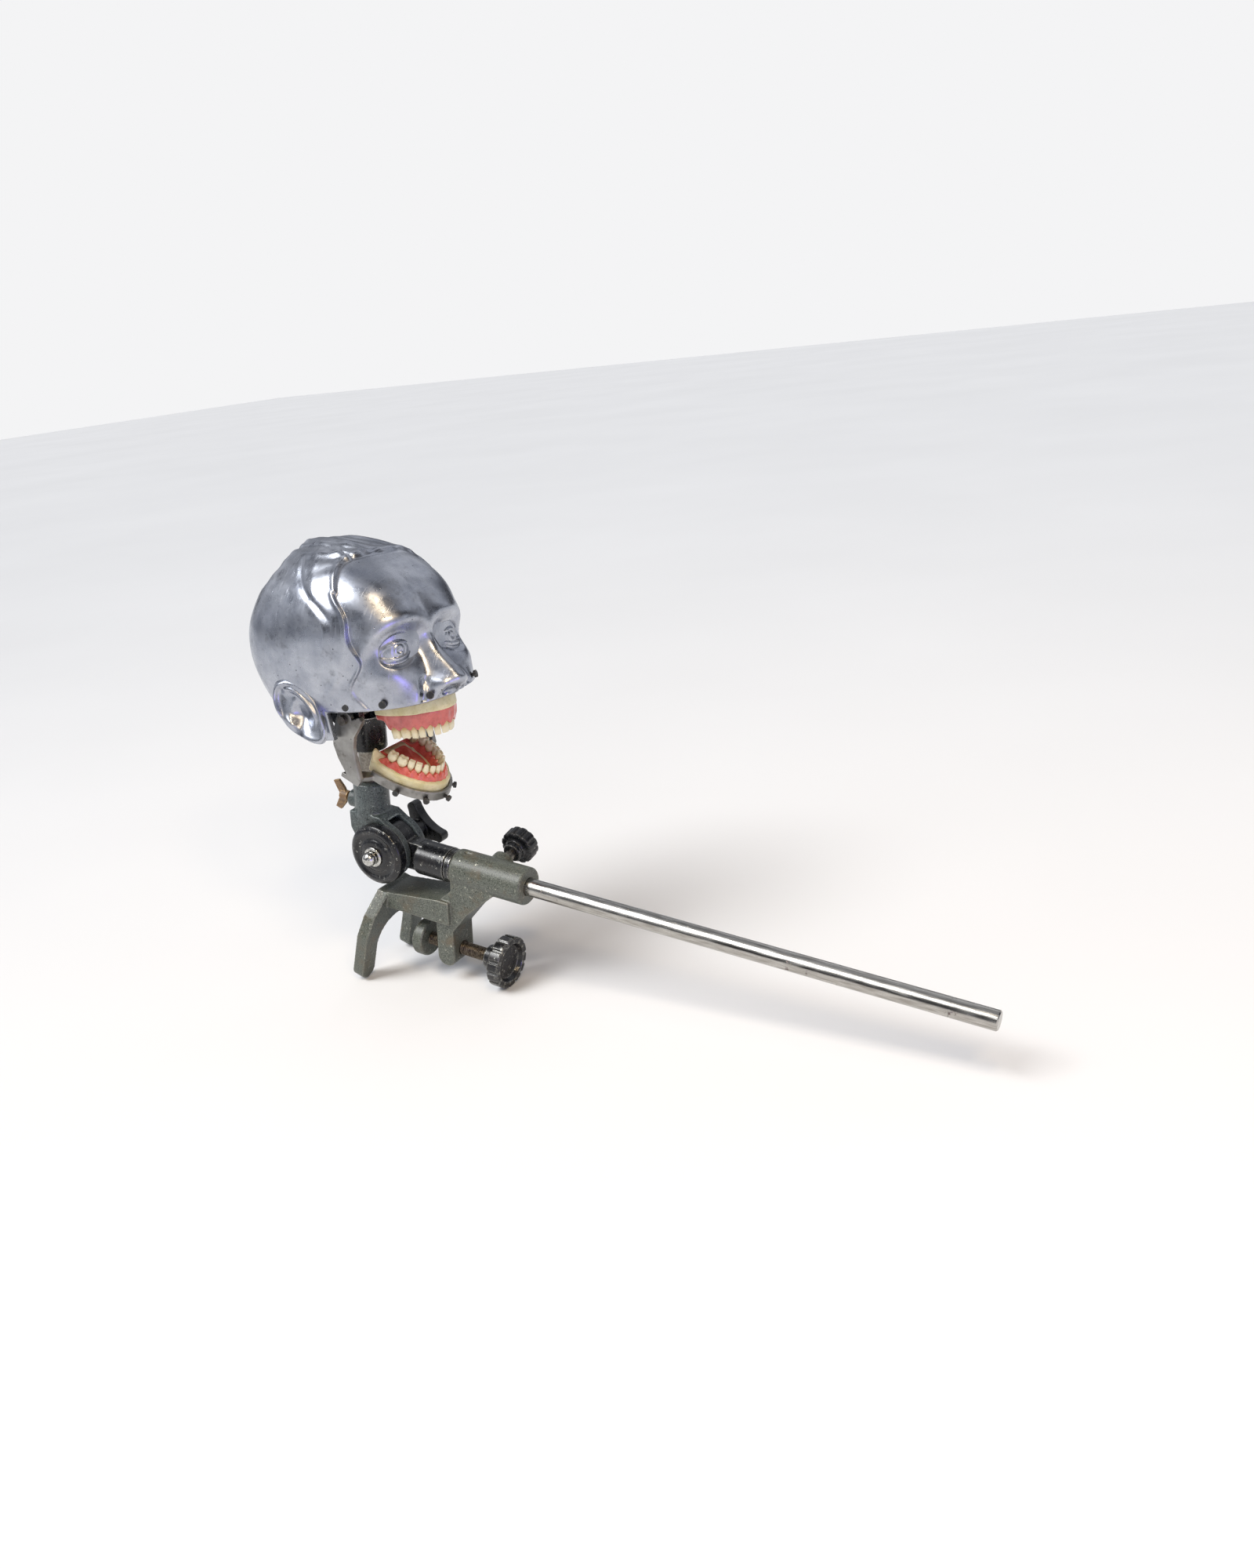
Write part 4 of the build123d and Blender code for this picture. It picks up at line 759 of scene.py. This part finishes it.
def enamel_like(name, crown, neck, stain, tip, up, root, margin):
    """Ivory resin: paler at the tip and browner at the neck by height over the bite plane."""
    made, tree, shader, place = finish_material(name)
    offset = add(tree, "VectorMath", {0: place, 1: tuple(tip * MM)}, operation="SUBTRACT").outputs[0]
    height = add(tree, "VectorMath", {0: offset, 1: tuple(up * root)},
                 operation="DOT_PRODUCT").outputs["Value"]
    blotch = noise(tree, place, 3.5, 5.0).outputs[0]
    uneven = add(tree, "Math", {0: blotch, 1: 2.4 * MM, 2: height}, operation="MULTIPLY_ADD").outputs[0]
    share = graded(tree, uneven, (margin - 3.4) * MM, (margin + 2.0) * MM)
    shade = add(tree, "ValToRGB", {"Fac": share},
                stops=[(0.0, linear(crown)), (1.0, linear(neck))]).outputs[0]
    specks = graded(tree, blotch, 0.6, 0.75, 0.0, 0.4)
    shown = add(tree, "MixRGB", {"Fac": specks, "Color1": shade, "Color2": linear(stain)}).outputs[0]
    ripple = add(tree, "Bump", {"Height": blotch, "Strength": 0.15, "Distance": 0.3 * MM}).outputs[0]
    join(tree, shown, shader, "Base Color")
    join(tree, ripple, shader, "Normal")
    shader.inputs["Roughness"].default_value = 0.26
    shader.inputs["Subsurface Weight"].default_value = 0.12
    shader.inputs["Subsurface Radius"].default_value = (1.4 * MM, 1.0 * MM, 0.6 * MM)
    shader.inputs["Subsurface Scale"].default_value = 1.0
    shader.inputs["Coat Weight"].default_value = 0.3
    return made


for jaw, teeth, half, seed, body, node in ((UPPER, UPPER_TEETH, UPPER_HALF, 5, "skull", "upper_teeth"),
                                           (LOWER, LOWER_TEETH, LOWER_HALF, 8, "jaw", "lower_teeth")):
    crowns = teeth_mesh(jaw, teeth, half, seed)
    count, rows, around = crowns.shape[:3]
    one = rings(rows, around)
    faces = [tuple(k * rows * around + corner for corner in face[::-1])
             for k in range(count) for face in one]
    ivory = enamel_like("ivory_resin_" + node, "#EAE2C0", "#C9AF74", "#B0945A", jaw[0], jaw[2], jaw[3], 8.6)
    put_mesh(node + "_set", crowns, faces, ivory, body, "ivory", node)

# --- practice jaws: gums --------------------------------------------------------------------------
# Coral-pink resin, glossy as if wet.  It bulges over each root, rises to a point between the teeth, dips
# behind them, and closes inside as a palate above and a floor below.


def gum_mesh(jaw, teeth, half, levels, floor):
    """Rings round the D from the outer foot over the crest and down to the middle of the palate or floor.
    The crest follows the arch and sinks behind the last molar; margins rise between teeth."""
    root = jaw[3]
    foot, margin = levels
    turn = np.linspace(-np.pi, np.pi, 420, endpoint=False)
    _, gaps = arch_turns(teeth, half)
    phase = np.interp(np.abs(turn), gaps, np.arange(len(gaps), dtype=float))
    between = np.cos(2 * np.pi * phase) * ease(gaps[-1] + 0.02 - np.abs(turn), 0, 0.05)
    behind = ease(np.abs(turn), gaps[-1], gaps[-1] + 0.12)
    # out from the arch, share of the way from foot to margin, how far the root bulge and the points show
    rows = np.array([(3.4, -0.10, 0.0, 0.0), (4.9, 0.0, 0.1, 0.0), (4.9, 0.2, 0.5, 0.0), (4.3, 0.45, 0.9, 0.0),
                     (3.7, 0.7, 0.8, 0.1), (3.1, 0.9, 0.4, 0.6), (2.6, 1.02, 0.0, 1.0), (2.0, 1.06, 0.0, 1.0),
                     (0.6, 1.04, 0.0, 0.8), (-3.4, 1.02, 0.0, 0.7), (-5.4, 0.98, 0.0, 0.6),
                     (-7.4, 0.78, 0.0, 0.1), (-9.0, 0.42, 0.0, 0.0), (-10.2, 0.1, 0.0, 0.0)])
    t = np.linspace(0, len(rows) - 1.0, 64)
    out, share, bulge, point = (part[:, None] for part in np.moveaxis(through(rows, t), -1, 0))
    spread = out + 0.55 * bulge * -between - 0.3 * point * between + wander(int(foot * 10) % 7, turn, 0.15)
    x, y = d_outline(half, spread, 54.0, turn)
    top = share * (1 - behind * ease(share, 0.2, 0.9) * 0.72)
    z = foot + (margin - foot) * top + root * -1.5 * point * between * (1 - behind)
    inward = np.linspace(1, 0, 14)[1:, None]
    floor_z = foot + (margin - foot) * floor
    deep = inward ** 0.7
    more_x = -30 + (x[-1:] + 30) * inward
    more_y = y[-1:] * inward
    more_z = floor_z + (z[-1:] - floor_z) * deep
    x, y, z = (np.concatenate(pair) for pair in ((x, more_x), (y, more_y), (z, more_z)))
    faces = rings(len(x), len(turn))
    if root < 0:
        faces = [face[::-1] for face in faces]
    return in_jaw(jaw, x, y, z), faces


for jaw, teeth, half, levels, floor, body, node, tones in (
        (UPPER, UPPER_TEETH, UPPER_HALF, (22.2, 9.9), 0.3, "skull", "upper_gum",
         ("#D06A62", "#B5504C", "#8E3A36")),
        (LOWER, LOWER_TEETH, LOWER_HALF, (-13.7, -8.0), 0.6, "jaw", "lower_gum",
         ("#E0705F", "#C9564B", "#8E2F2C"))):
    points, faces = gum_mesh(jaw, teeth, half, levels, floor)
    wet_gum = moulded_resin("glossy_coral_resin_" + node, *tones, 0.2, 0.5, 0.18, (2.2, 0.7, 0.5), 0.6)
    put_mesh(node + "_cast", points, faces, wet_gum, body, "gum", node)

# --- mandible frame and condyle axle --------------------------------------------------------------
# A satin aluminium casting: a rimmed tray for the lower jaw and two flat upright arms.  It hangs on a
# steel axle that slides in the skull frame's slots.
softened("mandible_frame", 0.6, 6, satin_casting, "jaw", "satin_aluminium")
dress(machined_steel, "condyle_axle")

# --- clamp screw ----------------------------------------------------------------------------------
# A 12.7 mm steel spindle with a rolled 2 mm thread, browned with oil.  Its thrust end turns in the pad,
# and a castellated black hand knob is held on it by a grub screw.
SCREW_PLACE = (0.0, 0.0, -84.0)
THREAD_PITCH, THREAD_DEEP = 2.0, 0.9


def thread(bearing, along, radius):
    """A vee thread: the radius falls and rises once each pitch, and the vee winds with the bearing."""
    step = (along / THREAD_PITCH - bearing / (2 * np.pi)) % 1.0
    cut = THREAD_DEEP * np.abs(2 * step - 1)
    return 1 - np.where(radius > 6.0, cut / np.maximum(radius, 1.0), 0.0)


spindle = np.array([(x, 6.35) for x in np.arange(-111.0, -38.4, 0.25)])
spindle_profile = np.concatenate([[(-118.2, 0.5), (-118.2, 4.9), (-111.2, 5.0)], spindle, [(-38.3, 0.5)]])
browned_thread = rusted_plate("browned_steel_thread", "#6E6558", "#403830", "#33261D", 6.0, 0.56, 0.40)
turned("clamp_screw_threaded", SCREW_PLACE, (1, 0, 0), spindle_profile, browned_thread, "clamp_screw",
       "steel", "clamp_screw", swell=thread, around=64)

LUGS, LUG_DEEP = 14, 1.9


def lugs(bearing, along, radius):
    """Square teeth round the rim: full radius on a lug and LUG_DEEP less in the notch."""
    wave = np.cos(bearing * LUGS)
    notch = ease(wave, 0.55, 0.8)
    return 1 - np.where(radius > 20.0, LUG_DEEP / np.maximum(radius, 1.0) * notch, 0.0)


knob_profile = [(-46.0, 6.5), (-46.0, 11.0), (-34.6, 11.0), (-34.0, 12.0), (-34.0, 19.6), (-33.6, 20.4),
                (-33.4, 23.2), (-32.6, 24.0), (-22.6, 24.0), (-21.8, 23.2), (-21.6, 20.4), (-21.5, 18.4),
                (-22.6, 17.4), (-26.0, 15.5), (-26.4, 12.0), (-26.5, 0.5)]
turned("clamp_knob_castellated", SCREW_PLACE, (1, 0, 0), rounded(knob_profile, 0.5, 3), black_enamel,
       "clamp_screw", "black_enamel", "clamp_knob", swell=lugs, around=280)

# --- rod lock -------------------------------------------------------------------------------------
# A set screw through the barrel's boss, with a brass plug that saves the plating and a small black knob
# with twelve flutes and a dished face.
LOCK_AT = (-41.0, 0.0, 0.0)
LOCK_RISE = math.radians(12)
LOCK_AXIS = (0.0, math.cos(LOCK_RISE), math.sin(LOCK_RISE))
FLUTES, FLUTE_DEEP = 12, 0.9
dress(brown_brass, "lock_plug")


def flutes(bearing, along, radius):
    """Twelve shallow hollows round the rim."""
    hollow = np.abs(np.cos(bearing * FLUTES / 2)) ** 6
    return 1 - np.where(radius > 12.0, FLUTE_DEEP / np.maximum(radius, 1.0) * hollow, 0.0)


lock_profile = [(34.0, 5.0), (34.0, 8.4), (35.0, 9.0), (40.0, 9.0), (41.4, 10.5), (41.8, 15.0), (43.0, 16.5),
                (53.5, 16.5), (55.0, 15.2), (54.6, 13.4), (52.6, 9.0), (52.0, 0.5)]
turned("lock_knob_fluted", LOCK_AT, LOCK_AXIS, rounded(lock_profile, 0.7, 3), black_enamel, "lock_screw",
       "black_enamel", "lock_knob", swell=flutes, around=192)

# --- floor, light and camera ----------------------------------------------------------------------
# The clamp stands free on its two fork feet and the hand knob's rim, so the floor lies through them.
FOOT, RIM = (-0.165, -0.1262), (-0.028, -0.1086)
floor_tilt = math.atan2(RIM[1] - FOOT[1], RIM[0] - FOOT[0])
bpy.ops.mesh.primitive_plane_add(size=30, location=(FOOT[0], 0, FOOT[1]), rotation=(0, -floor_tilt, 0))
floor = bpy.context.object
floor.name = "floor"
paper, tree, shader, place = finish_material("matt_white_paper")
sheet_tone = add(tree, "TexNoise", {"Vector": place, "Scale": 1.2, "Detail": 3.0}).outputs[0]
sheet = add(tree, "ValToRGB", {"Fac": sheet_tone},
            stops=[(0.3, linear("#E2E2E2")), (0.7, linear("#E6E6E6"))]).outputs[0]
join(tree, sheet, shader, "Base Color")
shader.inputs["Roughness"].default_value = 0.9
floor.data.materials.append(paper)

world = bpy.data.worlds.new("studio")
bpy.context.scene.world = world
world.use_nodes = True
sky = world.node_tree
backdrop = sky.nodes["Background"]
backdrop.inputs["Color"].default_value = linear("#F4F4F5")
direction = add(sky, "TexCoord").outputs["Generated"]
patches = add(sky, "TexNoise", {"Vector": direction, "Scale": 2.1, "Detail": 1.0}).outputs[0]
ROOM_TONES = [(0.38, linear("#3E3E42")), (0.50, linear("#94979E")), (0.62, linear("#E4E5EA"))]
room_tone = add(sky, "ValToRGB", {"Fac": patches}, stops=ROOM_TONES).outputs[0]
room = add(sky, "Background", {"Color": room_tone, "Strength": 1.0}).outputs[0]
seen = add(sky, "LightPath").outputs["Is Camera Ray"]
sight = add(sky, "MixShader", {0: seen, 1: room, 2: backdrop.outputs[0]}).outputs[0]
sky.links.new(sight, sky.nodes["World Output"].inputs["Surface"])
bpy.context.scene.view_settings.view_transform = "Standard"

sun = bpy.data.lights.new("broad_daylight", "SUN")
sun.energy, sun.angle = 2.4, math.radians(34)
daylight = bpy.data.objects.new("broad_daylight", sun)
bpy.context.scene.collection.objects.link(daylight)
daylight.rotation_euler = Vector((0.60, 0.62, -1.0)).to_track_quat("-Z", "Y").to_euler()
HEAD_CENTRE = np.array((-0.16, 0.0, 0.18))


def softbox(name, offset, size, power, colour):
    """A square lamp at an offset from the head's middle, facing it."""
    lamp = bpy.data.lights.new(name, "AREA")
    lamp.shape, lamp.size, lamp.energy, lamp.color = "SQUARE", size, power, linear(colour)[:3]
    held = bpy.data.objects.new(name, lamp)
    bpy.context.scene.collection.objects.link(held)
    where = HEAD_CENTRE + np.array(offset)
    held.location = where
    ray = Vector(HEAD_CENTRE - where)
    held.rotation_euler = ray.to_track_quat("-Z", "Y").to_euler()


softbox("key", (-1.0, -1.3, 1.3), 0.6, 7.0, "#FFFFFF")
softbox("ceiling", (0.62, -0.62, 1.7), 0.26, 4.5, "#FFE6C0")
softbox("lamp_front", (1.12, -0.72, 1.2), 0.2, 4.0, "#FFE2B8")
softbox("lamp_side", (1.0, -1.05, 1.3), 0.2, 3.5, "#FFE2B8")
softbox("violet_side", (1.3, -0.7, -0.05), 0.5, 2.2, "#8A70FF")

camera = bpy.data.objects.new("camera", bpy.data.cameras.new("camera"))
bpy.context.scene.collection.objects.link(camera)
camera.location = (0.550359, -0.793025, 0.523694)
camera.rotation_euler = (math.radians(66.1), 0.0, math.radians(29.7))
camera.data.sensor_width = 36.0
camera.data.lens = 28.84
bpy.context.scene.camera = camera
